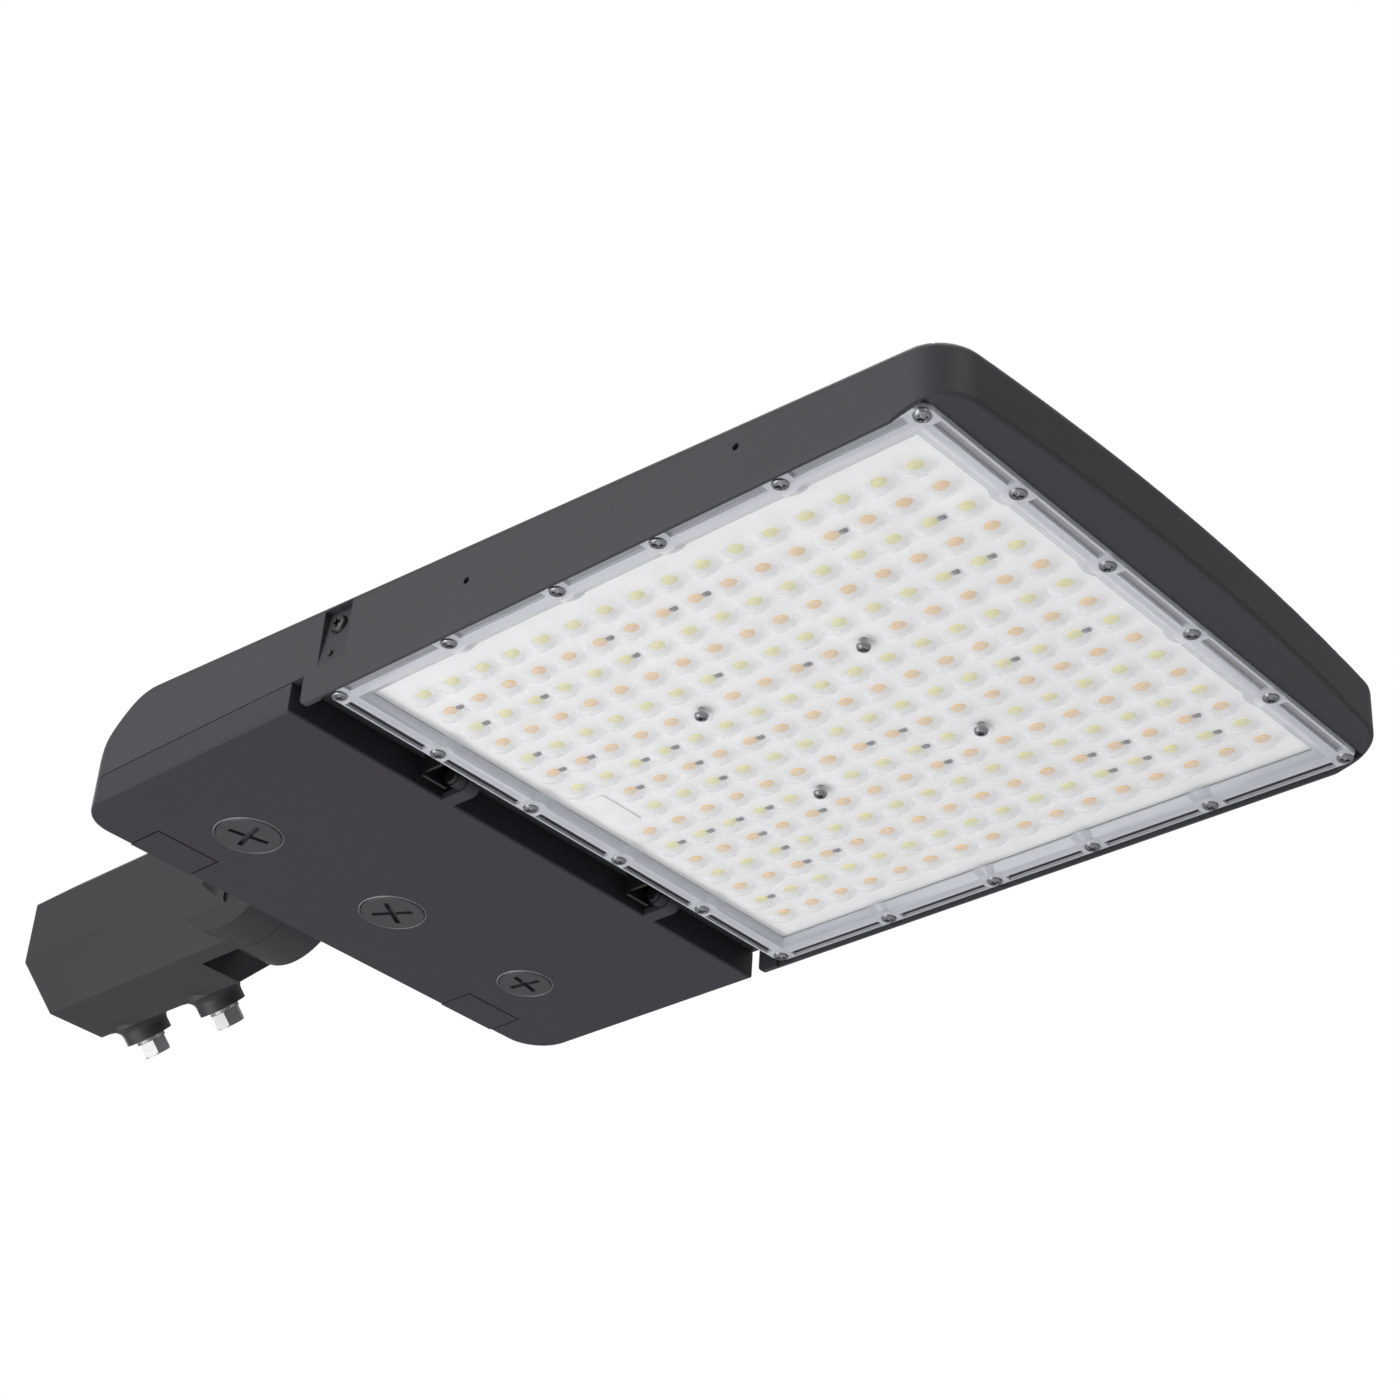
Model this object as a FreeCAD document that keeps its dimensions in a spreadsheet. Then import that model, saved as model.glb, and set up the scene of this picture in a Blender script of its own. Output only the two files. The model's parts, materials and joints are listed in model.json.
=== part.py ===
"""Shoebox area light on a tilting slip fitter.

Millimetres. The origin is on the axis of the tenon bore, at the sleeve's mouth. +X runs from
the pole towards the lamp's nose, +Z is up and the lens faces down.
"""
import FreeCAD, Part
import math
import os
from types import SimpleNamespace

import Sketcher
from FreeCAD import Vector

doc = FreeCAD.newDocument("AreaLight")
sheet = doc.addObject("Spreadsheet::Sheet", "Sizes")

# ------------------------------------------------------------------ driving dimensions
DIMENSIONS = (
    # slip fitter
    ("tenon_bore", 62.0, "bore that slides over the tenon"),
    ("socket_depth", 100.0, "mouth to the end wall's inner face"),
    ("sleeve_length", 111.5, "mouth to the end wall's outer face"),
    ("sleeve_width", 76.0, "across the sleeve's flats"),
    ("sleeve_bevel", 21.0, "leg of the four 45 degree bevels"),
    ("sleeve_round", 1.5, "rounding of the sleeve's long edges"),
    ("clamp_first", 17.0, "mouth to the first set bolt"),
    ("clamp_pitch", 60.0, "distance between the set bolts"),
    ("clamp_boss", 25.0, "diameter of the bolt bosses"),
    ("clamp_boss_rise", 10.0, "height of the bolt bosses above the bevel"),
    ("clamp_boss_flare", 5.5, "radius of the hollow round the bosses' feet"),
    ("clamp_thread", 12.0, "diameter of the set bolts"),
    ("clamp_head", 19.0, "set bolt head across its flats"),
    ("clamp_head_rise", 7.5, "height of a set bolt head"),
    ("clamp_reach", 18.0, "length of a set bolt below its head"),
    # knuckle
    ("pivot_reach", 152.0, "mouth to the tilt axis"),
    ("knuckle_radius", 39.0, "radius of both knuckle halves"),
    ("knuckle_split", 7.5, "parting of the halves, from the bore's plane to the near side"),
    ("near_half", 21.5, "thickness of the sleeve's half"),
    ("far_half", 24.5, "thickness of the arm's half"),
    ("flare_radius", 20.0, "hollow of the flare that thins the sleeve to its half"),
    ("pivot_bolt", 12.0, "diameter of the pivot bolt"),
    ("pivot_head", 19.0, "pivot bolt head and nut across flats"),
    ("tooth_ring", 52.0, "diameter of the washer between the halves"),
    ("tooth_ring_thick", 1.5, "thickness of that washer"),
    # housing
    ("pivot_to_box", 41.0, "tilt axis to the housing's rear face"),
    ("axis_rise", 45.5, "tenon axis above the lens face"),
    ("box_length", 501.0, "housing's rear face to the middle of the nose"),
    ("box_width", 298.0, "across the side walls"),
    ("rear_corner", 20.0, "plan radius of the rear corners"),
    ("nose_corner", 19.0, "plan radius of the front corners"),
    ("nose_bow", 1400.0, "plan radius of the bowed nose"),
    ("rim_drop", 1.7, "side walls and door below the lens face"),
    ("parting_rise", 12.5, "parting of door and housing above the lens face"),
    ("crown_rise", 52.3, "top at the tail's crown above the lens face"),
    ("nose_rise", 28.0, "top at the nose above the lens face"),
    ("crown_run", 46.0, "rear face to the tail's crown"),
    ("shoulder_run", 27.0, "rear face to the tail's shoulder"),
    ("crown_radius", 30.0, "radius of the tail above the shoulder"),
    ("top_round", 5.0, "rounding of the top edges"),
    ("wall", 3.0, "housing wall"),
    ("nose_lift", 2.2, "nose underside above the lens face, at the lens"),
    ("nose_crease", 4.0, "nose crease above the lens face"),
    ("fin_count", 24.0, "grooves between the cooling fins"),
    ("fin_thick", 2.4, "thickness of a fin"),
    ("base_rise", 12.0, "groove floor above the lens face"),
    # door
    ("door_length", 146.5, "rear face to the door's front"),
    ("door_wall", 4.0, "door's side walls"),
    ("door_floor", 2.5, "door's floor"),
    ("door_gap", 0.5, "dark line between door and housing"),
    ("channel_width", 19.5, "door's front to the lamp section"),
    ("notch_width", 7.0, "open end of the channel in the side walls"),
    ("ear_round", 3.0, "rounding of the side walls' rear lower corners"),
    ("rim_round", 0.8, "rounding of the side walls' lower edges"),
    ("crease_round", 2.0, "rounding of the nose's crease"),
    ("gasket_width", 2.0, "width of the door gasket"),
    ("gasket_depth", 1.4, "groove that holds the door gasket"),
    # latches
    ("latch_width", 34.0, "finger latch, across"),
    ("latch_depth", 20.0, "finger latch, from the rear edge"),
    ("latch_place", 98.5, "latch middle from the housing's middle"),
    ("latch_gap", 0.8, "dark line round a latch"),
    ("latch_pin", 4.0, "diameter of the latch pins"),
    # ports
    ("port_place", 51.5, "rear face to the ports"),
    ("port_pitch", 89.0, "distance between ports"),
    ("port_plug", 30.0, "diameter of the two large plugs"),
    ("sensor_plug", 25.4, "diameter of the small plug"),
    ("plug_proud", 0.7, "plugs stand out of the door"),
    ("plug_head", 3.0, "thickness of a plug's head"),
    ("plug_ring", 2.0, "section of the plug seals"),
    ("plug_slot", 2.6, "width of the cross slot"),
    # door hinges
    ("hinge_pitch", 130.5, "distance between the hinges"),
    ("hinge_place", 9.75, "arm of the middle hinge line to the far side"),
    ("hinge_arm", 7.0, "width of a hinge arm"),
    ("hinge_setback", 7.5, "hinge pin to the lamp section's rear face"),
    ("hinge_barrel", 4.9, "radius of the hinge barrels"),
    ("hinge_pin", 5.0, "diameter of the hinge pins"),
    # lamp section
    ("lens_length", 315.6, "lens, front to back"),
    ("lens_width", 293.6, "lens, across"),
    ("lens_gap", 0.3, "clearance round the lens"),
    ("lens_rim", 2.5, "thickness of the lens rim"),
    ("lens_bevel", 5.0, "cut-off lens corners"),
    ("seat_rise", 4.0, "gasket seat above the lens face"),
    ("board_rise", 6.6, "board seat above the lens face"),
    ("board_thick", 1.6, "LED board"),
    ("board_margin", 11.0, "lens edge to the board's recess"),
    ("board_gap", 1.0, "clearance round the board"),
    ("panel_rise", 2.0, "lens panel's outer face above the rim's"),
    ("panel_thick", 1.9, "lens panel"),
    ("screw_inset", 4.8, "rim screws from the lens edge"),
    ("rim_screw", 4.0, "diameter of the rim screws"),
    ("rim_screw_head", 7.4, "diameter of their heads"),
    ("led_columns", 16.0, "LEDs from back to front"),
    ("led_rows", 16.0, "LEDs across"),
    ("led_pitch_x", 17.3, "LED spacing from back to front"),
    ("led_pitch_y", 15.5, "LED spacing across"),
    # side walls
    ("side_screw_rise", 33.5, "side screw above the lens face"),
    ("side_pin_rise", 18.4, "locating pin above the lens face"),
    ("side_screw_place", 4.0, "lamp section's rear face to the side screw"),
    ("shield_first", 84.8, "lamp section's rear face to the first shield hole"),
    ("shield_pitch", 143.6, "distance between the shield holes"),
    ("shield_rise", 21.0, "shield holes above the lens face"),
    ("shield_hole", 3.3, "diameter of the shield holes"),
    # mounting arm
    ("pad_inset", 13.0, "rear face to the arm's pad"),
    ("pad_width", 92.0, "the arm's pad, across"),
    ("pad_low", 20.0, "pad's lower edge above the lens face"),
    ("pad_high", 48.0, "pad's upper edge above the lens face"),
    ("pad_depth", 20.0, "thickness of the housing behind the pad"),
    ("flange_thick", 8.0, "arm's flange"),
    ("arm_gasket", 1.5, "gasket under the flange"),
    ("arm_bolt", 6.0, "diameter of the arm bolts"),
    ("arm_bolt_y", 38.0, "arm bolts from the middle"),
    ("arm_bolt_pitch", 14.0, "arm bolts, lower to upper"),
    ("wire_hole", 13.0, "wire holes in the sleeve's end wall and the pad"),
    ("wire_place", 24.0, "wire holes from the middle"),
    # electrical parts
    ("driver_length", 190.0, "LED driver"),
    ("driver_width", 60.0, "LED driver"),
    ("driver_height", 28.0, "LED driver"),
    ("slack", 0.3, "clearance of parts that only lie close"),
    ("running", 0.05, "radial clearance of turning parts"),
)


class Size:
    """A length: its number today, and the formula that the document works it out with."""

    def __init__(self, number, formula):
        self.number = number
        self.formula = formula

    def _with(self, other, sign, number):
        return Size(number, f"({self.formula} {sign} {size(other).formula})")

    def __add__(self, other):
        return self._with(other, "+", self.number + size(other).number)

    def __sub__(self, other):
        return self._with(other, "-", self.number - size(other).number)

    def __mul__(self, other):
        return self._with(other, "*", self.number * size(other).number)

    def __truediv__(self, other):
        return self._with(other, "/", self.number / size(other).number)

    def __radd__(self, other):
        return size(other) + self

    def __rsub__(self, other):
        return size(other) - self

    def __rmul__(self, other):
        return size(other) * self

    def __neg__(self):
        return Size(-self.number, f"(0 - {self.formula})")


def size(value):
    """A Size from a Size or a plain number."""
    if isinstance(value, Size):
        return value
    return Size(float(value), f"{float(value):.6f}")


def root(value):
    """Square root of a Size."""
    return Size(math.sqrt(value.number), f"sqrt({value.formula})")


def fill_sheet(rows):
    """Write the driving dimensions into the sheet and return them by name."""
    made = {}
    for row, (name, number, meaning) in enumerate(rows, start=1):
        sheet.set(f"A{row}", meaning)
        sheet.set(f"B{row}", str(number))
        sheet.setAlias(f"B{row}", name)
        made[name] = Size(number, f"Sizes.{name}")
    doc.recompute()
    return SimpleNamespace(**made)


d = fill_sheet(DIMENSIONS)


# ------------------------------------------------------------------ modelling helpers
def bind(thing, prop, value):
    """Set a property from a Size and keep it bound to the sheet."""
    thing.setExpression(prop, size(value).formula)


def new_body(label):
    """An empty body whose label names the piece."""
    body = doc.addObject("PartDesign::Body", label)
    body.Label = label
    body.AllowCompound = True
    return body


def new_sketch(body, plane, level):
    """A sketch on one of the body's own planes, moved along the third axis to a level."""
    origin_plane = next(f for f in body.Origin.OriginFeatures if f.Role == f"{plane}_Plane")
    sketch = body.newObject("Sketcher::SketchObject", f"{body.Name}_sketch")
    sketch.AttachmentSupport = [(origin_plane, "")]
    sketch.MapMode = "FlatFace"
    bind(sketch, "AttachmentOffset.Base.z", -size(level) if plane == "XZ" else level)
    return sketch


def place_point(sketch, edge, end, x, y):
    """Hold one end of a sketch edge at a bound place."""
    for kind, value, tag in (("DistanceX", size(x), "x"), ("DistanceY", size(y), "y")):
        index = sketch.addConstraint(Sketcher.Constraint(kind, -1, 1, edge, end, value.number))
        name = f"{tag}{index}"
        sketch.renameConstraint(index, name)
        sketch.setExpression(f"Constraints.{name}", value.formula)


def arc_centre(start, end, radius, left):
    """Centre of an arc of a radius from start to end that turns left or right."""
    middle = (start + end) * 0.5
    along = end - start
    rise = math.sqrt(max(radius ** 2 - (along.Length / 2) ** 2, 0.0))
    side = Vector(-along.y, along.x, 0).normalize() * rise
    return middle + side if left else middle - side


def outline(sketch, corners, closed=True):
    """A line through corners. A corner is (x, y) or, where an arc leaves it, (x, y, radius, left)."""
    points = [Vector(size(c[0]).number, size(c[1]).number, 0) for c in corners]
    ends = []
    for index, corner in enumerate(corners if closed else corners[:-1]):
        start = points[index]
        end = points[(index + 1) % len(corners)]
        if len(corner) == 2:
            edge = sketch.addGeometry(Part.LineSegment(start, end), False)
            ends.append((edge, 1, 2))
            continue
        radius, left = size(corner[2]), corner[3]
        centre = arc_centre(start, end, radius.number, left)
        first, last = (start, end) if left else (end, start)
        angles = [math.atan2(p.y - centre.y, p.x - centre.x) for p in (first, last)]
        circle = Part.Circle(centre, Vector(0, 0, 1), radius.number)
        edge = sketch.addGeometry(Part.ArcOfCircle(circle, angles[0], angles[1]), False)
        ends.append((edge, 1, 2) if left else (edge, 2, 1))
        index_radius = sketch.addConstraint(Sketcher.Constraint("Radius", edge, radius.number))
        sketch.renameConstraint(index_radius, f"r{index_radius}")
        sketch.setExpression(f"Constraints.r{index_radius}", radius.formula)
    for index, (edge, first, last) in enumerate(ends):
        place_point(sketch, edge, first, corners[index][0], corners[index][1])
        following, its_first, _ = ends[(index + 1) % len(ends)]
        if closed or edge != ends[-1][0]:
            meeting = Sketcher.Constraint("Coincident", edge, last, following, its_first)
            sketch.addConstraint(meeting)
        else:
            place_point(sketch, edge, last, corners[-1][0], corners[-1][1])


def rectangle(sketch, x_low, x_high, y_low, y_high):
    """A bound rectangle."""
    outline(sketch, [(x_low, y_low), (x_high, y_low), (x_high, y_high), (x_low, y_high)])


def disc(sketch, x, y, radius):
    """A bound circle."""
    radius = size(radius)
    centre = Vector(size(x).number, size(y).number, 0)
    edge = sketch.addGeometry(Part.Circle(centre, Vector(0, 0, 1), radius.number), False)
    place_point(sketch, edge, 3, x, y)
    index = sketch.addConstraint(Sketcher.Constraint("Radius", edge, radius.number))
    sketch.renameConstraint(index, f"r{index}")
    sketch.setExpression(f"Constraints.r{index}", radius.formula)


def hexagon(sketch, x, y, flats):
    """A bound hexagon with two corners on the sketch's X direction."""
    flats = size(flats)
    tip, half, quarter = flats / math.sqrt(3), flats / 2, flats / (2 * math.sqrt(3))
    outline(sketch, [(x + tip, y), (x + quarter, y + half), (x - quarter, y + half),
                     (x - tip, y), (x - quarter, y - half), (x + quarter, y - half)])


def sweep_up(body, kind, sketch, plane, length):
    """Pad or pocket a sketch towards + along the axis that crosses its plane."""
    feature = body.newObject(f"PartDesign::{kind}", f"{body.Name}_{kind}")
    feature.Profile = sketch
    bind(feature, "Length", length)
    towards_normal = kind == "Pad"
    feature.Reversed = (plane == "XZ") == towards_normal
    body.Tip = feature
    return feature


def pad(body, plane, low, high, draw, *shape):
    """Add the drawn shape between two levels of the axis that crosses the plane."""
    sketch = new_sketch(body, plane, low)
    draw(sketch, *shape)
    return sweep_up(body, "Pad", sketch, plane, size(high) - low)


def pocket(body, plane, low, high, draw, *shape):
    """Cut the drawn shape between two levels of the axis that crosses the plane."""
    sketch = new_sketch(body, plane, low)
    draw(sketch, *shape)
    return sweep_up(body, "Pocket", sketch, plane, size(high) - low)


def revolve(body, corners):
    """Add a shape turned about Z from its outline in X and Z."""
    sketch = new_sketch(body, "XZ", 0)
    outline(sketch, corners)
    turn = body.newObject("PartDesign::Revolution", f"{body.Name}_turn")
    turn.Profile = sketch
    turn.ReferenceAxis = (sketch, ["V_Axis"])
    turn.Angle = 360
    body.Tip = turn
    return turn


def discs(sketch, places, radius):
    """A bound circle at each place."""
    for x, y in places:
        disc(sketch, x, y, radius)


def spread_in_line(body, feature, axis, span, count):
    """Repeat a feature along one of the body's axes."""
    line = next(f for f in body.Origin.OriginFeatures if f.Role == f"{axis}_Axis")
    pattern = body.newObject("PartDesign::LinearPattern", f"{body.Name}_pattern")
    pattern.Originals = [feature]
    pattern.Direction = (line, [""])
    bind(pattern, "Length", span)
    bind(pattern, "Occurrences", count)
    body.Tip = pattern
    return pattern


def round_edges(body, chosen, radius):
    """Fillet the edges of the body's tip that the chooser picks."""
    doc.recompute()
    base = body.Tip
    edges = enumerate(base.Shape.Edges, start=1)
    names = [f"Edge{index}" for index, edge in edges if chosen(base.Shape, edge)]
    fillet = body.newObject("PartDesign::Fillet", f"{body.Name}_round")
    fillet.Base = (base, names)
    bind(fillet, "Radius", radius)
    body.Tip = fillet
    return fillet


def pipe(label, y, radius, corners):
    """A round lead along an open path in the plane at y."""
    path = doc.addObject("Sketcher::SketchObject", f"{label}_path")
    path.Placement.Rotation = FreeCAD.Rotation(Vector(1, 0, 0), 90)
    bind(path, "Placement.Base.y", y)
    outline(path, corners, False)
    section = doc.addObject("Part::Circle", f"{label}_section")
    section.Placement.Rotation = FreeCAD.Rotation(Vector(0, 1, 0), 90)
    bind(section, "Radius", radius)
    bind(section, "Placement.Base.x", corners[0][0])
    bind(section, "Placement.Base.y", y)
    bind(section, "Placement.Base.z", corners[0][1])
    doc.recompute()
    lead = doc.addObject("Part::Sweep", label)
    lead.Label = label
    lead.Sections = [section]
    lead.Spine = (path, [f"Edge{index + 1}" for index in range(len(corners) - 1)])
    lead.Solid = True
    lead.Frenet = False
    return lead


def combined(label, kind, base, tools):
    """A Part boolean of whole sub-parts: Cut takes the tools from the base, Fuse adds them."""
    if kind == "Fuse":
        joined = doc.addObject("Part::MultiFuse", label)
        joined.Shapes = [base, *tools]
    else:
        joined = doc.addObject("Part::Cut", label)
        joined.Base = base
        joined.Tool = tools[0]
    joined.Label = label
    return joined


# ------------------------------------------------------------------ shared places
box_rear = d.pivot_reach + d.pivot_to_box
half_width = d.box_width / 2
nose_tip = box_rear + d.box_length
lens_face = -d.axis_rise
rim_floor = lens_face - d.rim_drop
parting = lens_face + d.parting_rise
door_top = parting - d.door_gap
door_front = box_rear + d.door_length
lamp_rear = door_front + d.channel_width
notch_front = door_front + d.notch_width
channel_roof = parting + d.door_gap
lens_start = lamp_rear + d.lens_gap
lens_end = lens_start + d.lens_length
lens_half = d.lens_width / 2
lens_middle = lens_start + d.lens_length / 2
seat = lens_face + d.seat_rise
board_face = lens_face + d.board_rise
groove_floor = lens_face + d.base_rise
wall_inside = half_width - d.wall
pad_face = box_rear + d.pad_inset
pad_low = lens_face + d.pad_low
pad_high = lens_face + d.pad_high
split = -d.knuckle_split
port_x = box_rear + d.port_place
hinge_x = lamp_rear - d.hinge_setback
hinge_z = rim_floor + d.hinge_barrel
latch_axis_x = box_rear + 12
latch_axis_z = rim_floor + 6.5
ABOVE = d.axis_rise * 2
WELL_OUT = d.box_width

SIDES = (-1, 1)


# ------------------------------------------------------------------ slip fitter
def octagon(sketch, half, bevel):
    """The sleeve's section, in Y and Z."""
    flat = half - bevel
    outline(sketch, [(half, -flat), (half, flat), (flat, half), (-flat, half),
                     (-half, flat), (-half, -flat), (-flat, -half), (flat, -half)])


def is_lengthwise(_, edge):
    """True for edges that run along X."""
    box = edge.BoundBox
    return box.YMax - box.YMin < 0.01 and box.ZMax - box.ZMin < 0.01


def clamp_places():
    """X of the set bolts."""
    return (d.clamp_first, d.clamp_first + d.clamp_pitch)


def lay_on_bevel(thing, x, distance):
    """Stand a piece made along +Z on the sleeve's lower far bevel, facing out of it."""
    reach = size(distance) / math.sqrt(2)
    thing.Placement = FreeCAD.Placement(Vector(0, 0, 0),
                                        FreeCAD.Rotation(Vector(1, 0, 0), 225))
    bind(thing, "Placement.Base.x", x)
    bind(thing, "Placement.Base.y", reach)
    bind(thing, "Placement.Base.z", -reach)


def bevel_distance():
    """Bore axis to the bevel faces."""
    return (d.sleeve_width - d.sleeve_bevel) / math.sqrt(2)


def make_slip_fitter():
    """The sleeve, its bolt bosses and its half of the knuckle."""
    half = d.sleeve_width / 2
    near_face = split - d.near_half
    sleeve = new_body("sleeve_casting")
    pad(sleeve, "YZ", 0, d.pivot_reach, octagon, half, d.sleeve_bevel)
    round_edges(sleeve, is_lengthwise, d.sleeve_round)
    # Only the near side runs on beyond the end wall.
    pocket(sleeve, "XY", -WELL_OUT, WELL_OUT, rectangle,
           d.sleeve_length, d.pivot_reach + d.knuckle_radius, split, WELL_OUT)
    pad(sleeve, "XZ", near_face, split, disc, d.pivot_reach, 0, d.knuckle_radius)
    # The hollow flare thins the near side down to the half's face.
    flare_x = d.pivot_reach + 8
    flare_y = near_face - d.flare_radius
    flare_run = root(d.flare_radius * d.flare_radius - (half - d.flare_radius + near_face)
                     * (half - d.flare_radius + near_face))
    far_out = d.pivot_reach + d.knuckle_radius * 2
    pocket(sleeve, "XY", -WELL_OUT, WELL_OUT, outline,
           [(flare_x - flare_run, -half - 0.0), (flare_x - flare_run, -half - 5),
            (far_out, -half - 5), (far_out, near_face), (flare_x, near_face, d.flare_radius, True)])
    pocket(sleeve, "YZ", -1, d.socket_depth, disc, 0, 0, d.tenon_bore / 2)
    pocket(sleeve, "YZ", 0, d.sleeve_length + 1, disc, d.wire_place, 0, d.wire_hole / 2)
    pocket(sleeve, "XZ", near_face - 20, near_face, disc,
           d.pivot_reach, 0, d.pivot_head * 0.68)
    pocket(sleeve, "XZ", near_face - 1, split + 1, disc,
           d.pivot_reach, 0, d.pivot_bolt / 2 + d.running)
    pocket(sleeve, "XZ", split - d.tooth_ring_thick / 2, split + 1, disc,
           d.pivot_reach, 0, d.tooth_ring / 2 + d.slack)

    bosses = []
    drillings = []
    for x in clamp_places():
        boss = new_body("clamp_boss")
        radius, flare = d.clamp_boss / 2, d.clamp_boss_flare
        revolve(boss, [(0, -4), (radius + flare, -4), (radius + flare, 0, flare, False),
                       (radius, flare), (radius, d.clamp_boss_rise), (0, d.clamp_boss_rise)])
        lay_on_bevel(boss, x, bevel_distance())
        bosses.append(boss)
        drilling = doc.addObject("Part::Cylinder", "clamp_drilling")
        bind(drilling, "Radius", d.clamp_thread / 2 + d.running)
        bind(drilling, "Height", bevel_distance() + d.clamp_boss_rise)
        lay_on_bevel(drilling, x, d.tenon_bore / 4)
        drillings.append(drilling)
    with_bosses = combined("sleeve_with_bosses", "Fuse", sleeve, bosses)
    holes = combined("clamp_holes", "Fuse", drillings[0], drillings[1:])
    return [combined("slip_fitter", "Cut", with_bosses, [holes])]


def make_set_bolts():
    """The two hex bolts that clamp the tenon."""
    bolts = []
    seat_out = bevel_distance() + d.clamp_boss_rise + d.slack
    for name, x in zip(("set_bolt_outer", "set_bolt_inner"), clamp_places()):
        bolt = new_body(name)
        pad(bolt, "XY", -d.clamp_reach, 0, disc, 0, 0, d.clamp_thread / 2)
        pad(bolt, "XY", 0, 1.2, disc, 0, 0, d.clamp_head / 2 + 0.8)
        pad(bolt, "XY", 1.2, d.clamp_head_rise, hexagon, 0, 0, d.clamp_head)
        lay_on_bevel(bolt, x, seat_out)
        bolts.append(bolt)
    return bolts


def make_pivot():
    """Pivot bolt with its nut, and the serrated washer between the halves."""
    near_face = split - d.near_half
    far_face = split + d.far_half
    head_rise = d.pivot_bolt * 0.62
    bolt = new_body("pivot_bolt")
    pad(bolt, "XZ", near_face - head_rise, near_face, hexagon, d.pivot_reach, 0, d.pivot_head)
    pad(bolt, "XZ", near_face, far_face + 13, disc, d.pivot_reach, 0, d.pivot_bolt / 2)
    nut = new_body("pivot_nut")
    nut_start = far_face + d.slack
    pad(nut, "XZ", nut_start, nut_start + 2, disc, d.pivot_reach, 0, d.pivot_bolt)
    pad(nut, "XZ", nut_start + 2, nut_start + 12, hexagon, d.pivot_reach, 0, d.pivot_head)
    pocket(nut, "XZ", far_face, far_face + 14, disc, d.pivot_reach, 0, d.pivot_bolt / 2)
    washer = new_body("tooth_washer")
    ring_start = split - d.tooth_ring_thick / 2
    pad(washer, "XZ", ring_start, ring_start + d.tooth_ring_thick, disc,
        d.pivot_reach, 0, d.tooth_ring / 2)
    pocket(washer, "XZ", split - 5, split + 5, disc,
           d.pivot_reach, 0, d.pivot_bolt / 2 + d.running)
    return [bolt, nut, washer]


def make_bush(label, hole, collar, y, z):
    """A rubber bush in a wire hole; hole and collar are its levels along X."""
    bush = new_body(label)
    radius = d.wire_hole / 2
    pad(bush, "YZ", *collar, disc, y, z, radius + 1.6)
    pad(bush, "YZ", *hole, disc, y, z, radius)
    pocket(bush, "YZ", hole[0] - 5, hole[1] + 5, disc, y, z, radius - 2)
    return bush


# ------------------------------------------------------------------ mounting arm
def make_arm():
    """The arm's half of the knuckle, its neck and its flange, with the flange gasket."""
    far_face = split + d.far_half
    flange_face = pad_face - d.arm_gasket
    flange_back = flange_face - d.flange_thick
    start = split + d.slack
    arm = new_body("mounting_arm")
    pad(arm, "XZ", start, far_face, disc, d.pivot_reach, 0, d.knuckle_radius)
    pad(arm, "XZ", start, far_face, outline,
        [(d.pivot_reach, pad_low + 3), (flange_face, pad_low + 3),
         (flange_face, pad_high - 3), (d.pivot_reach, d.knuckle_radius * 0.7)])
    pad(arm, "YZ", flange_back, flange_face, rectangle,
        -d.pad_width / 2 + 1, d.pad_width / 2 - 1, pad_low + 1, pad_high - 1)
    pocket(arm, "XZ", start - 1, far_face + 1, disc,
           d.pivot_reach, 0, d.pivot_bolt / 2 + d.running)
    pocket(arm, "XZ", start - 1, split + d.tooth_ring_thick / 2 + d.slack, disc,
           d.pivot_reach, 0, d.tooth_ring / 2 + d.slack)
    pocket(arm, "YZ", flange_back - 1, flange_face + 1, disc,
           d.wire_place + 2, wire_z(), d.wire_hole / 2 - 1)
    pocket(arm, "YZ", flange_back - 1, flange_face + 1, discs,
           arm_bolt_places(), d.arm_bolt / 2 + d.slack)
    gasket = new_body("arm_gasket")
    pad(gasket, "YZ", flange_face, pad_face, rectangle,
        -d.pad_width / 2 + 1, d.pad_width / 2 - 1, pad_low + 1, pad_high - 1)
    pocket(gasket, "YZ", flange_face - 1, pad_face + 1, discs,
           arm_bolt_places(), d.arm_bolt / 2 + d.slack)
    pocket(gasket, "YZ", flange_face - 1, pad_face + 1, disc,
           d.wire_place + 2, wire_z(), d.wire_hole / 2 + 0.5)
    return [arm, gasket]


def wire_z():
    """Height of the wire hole in the arm's pad."""
    return (pad_low + pad_high) / 2


def arm_bolt_places():
    """Y and Z of the four arm bolts."""
    return [(side * d.arm_bolt_y, wire_z() + rise * d.arm_bolt_pitch / 2)
            for side in SIDES for rise in SIDES]


def make_arm_bolts():
    """Four hex bolts that hold the flange to the housing's pad."""
    bolts = new_body("arm_bolts")
    seat_x = pad_face - d.arm_gasket - d.flange_thick
    pad(bolts, "YZ", seat_x, pad_face + d.pad_depth - 4, discs,
        arm_bolt_places(), d.arm_bolt / 2 - d.running)
    pad(bolts, "YZ", seat_x - 1.2, seat_x, discs, arm_bolt_places(), d.arm_bolt * 0.93)
    for y, z in arm_bolt_places():
        pad(bolts, "YZ", seat_x - 6, seat_x - 1.2, hexagon, y, z, d.arm_bolt * 1.6)
    return bolts


# ------------------------------------------------------------------ housing
def nose_points(half, bow, corner, tip):
    """The bowed nose in plan, from the near side to the far side, as outline corners."""
    centre = tip - bow
    inner = bow - corner
    across = half - corner
    corner_x = centre + root(inner * inner - across * across)
    touch_x = centre + (corner_x - centre) * bow / inner
    touch_y = across * bow / inner
    return [(corner_x, -half, corner, True), (touch_x, -touch_y, bow, True),
            (touch_x, touch_y, corner, True), (corner_x, half)]


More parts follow.
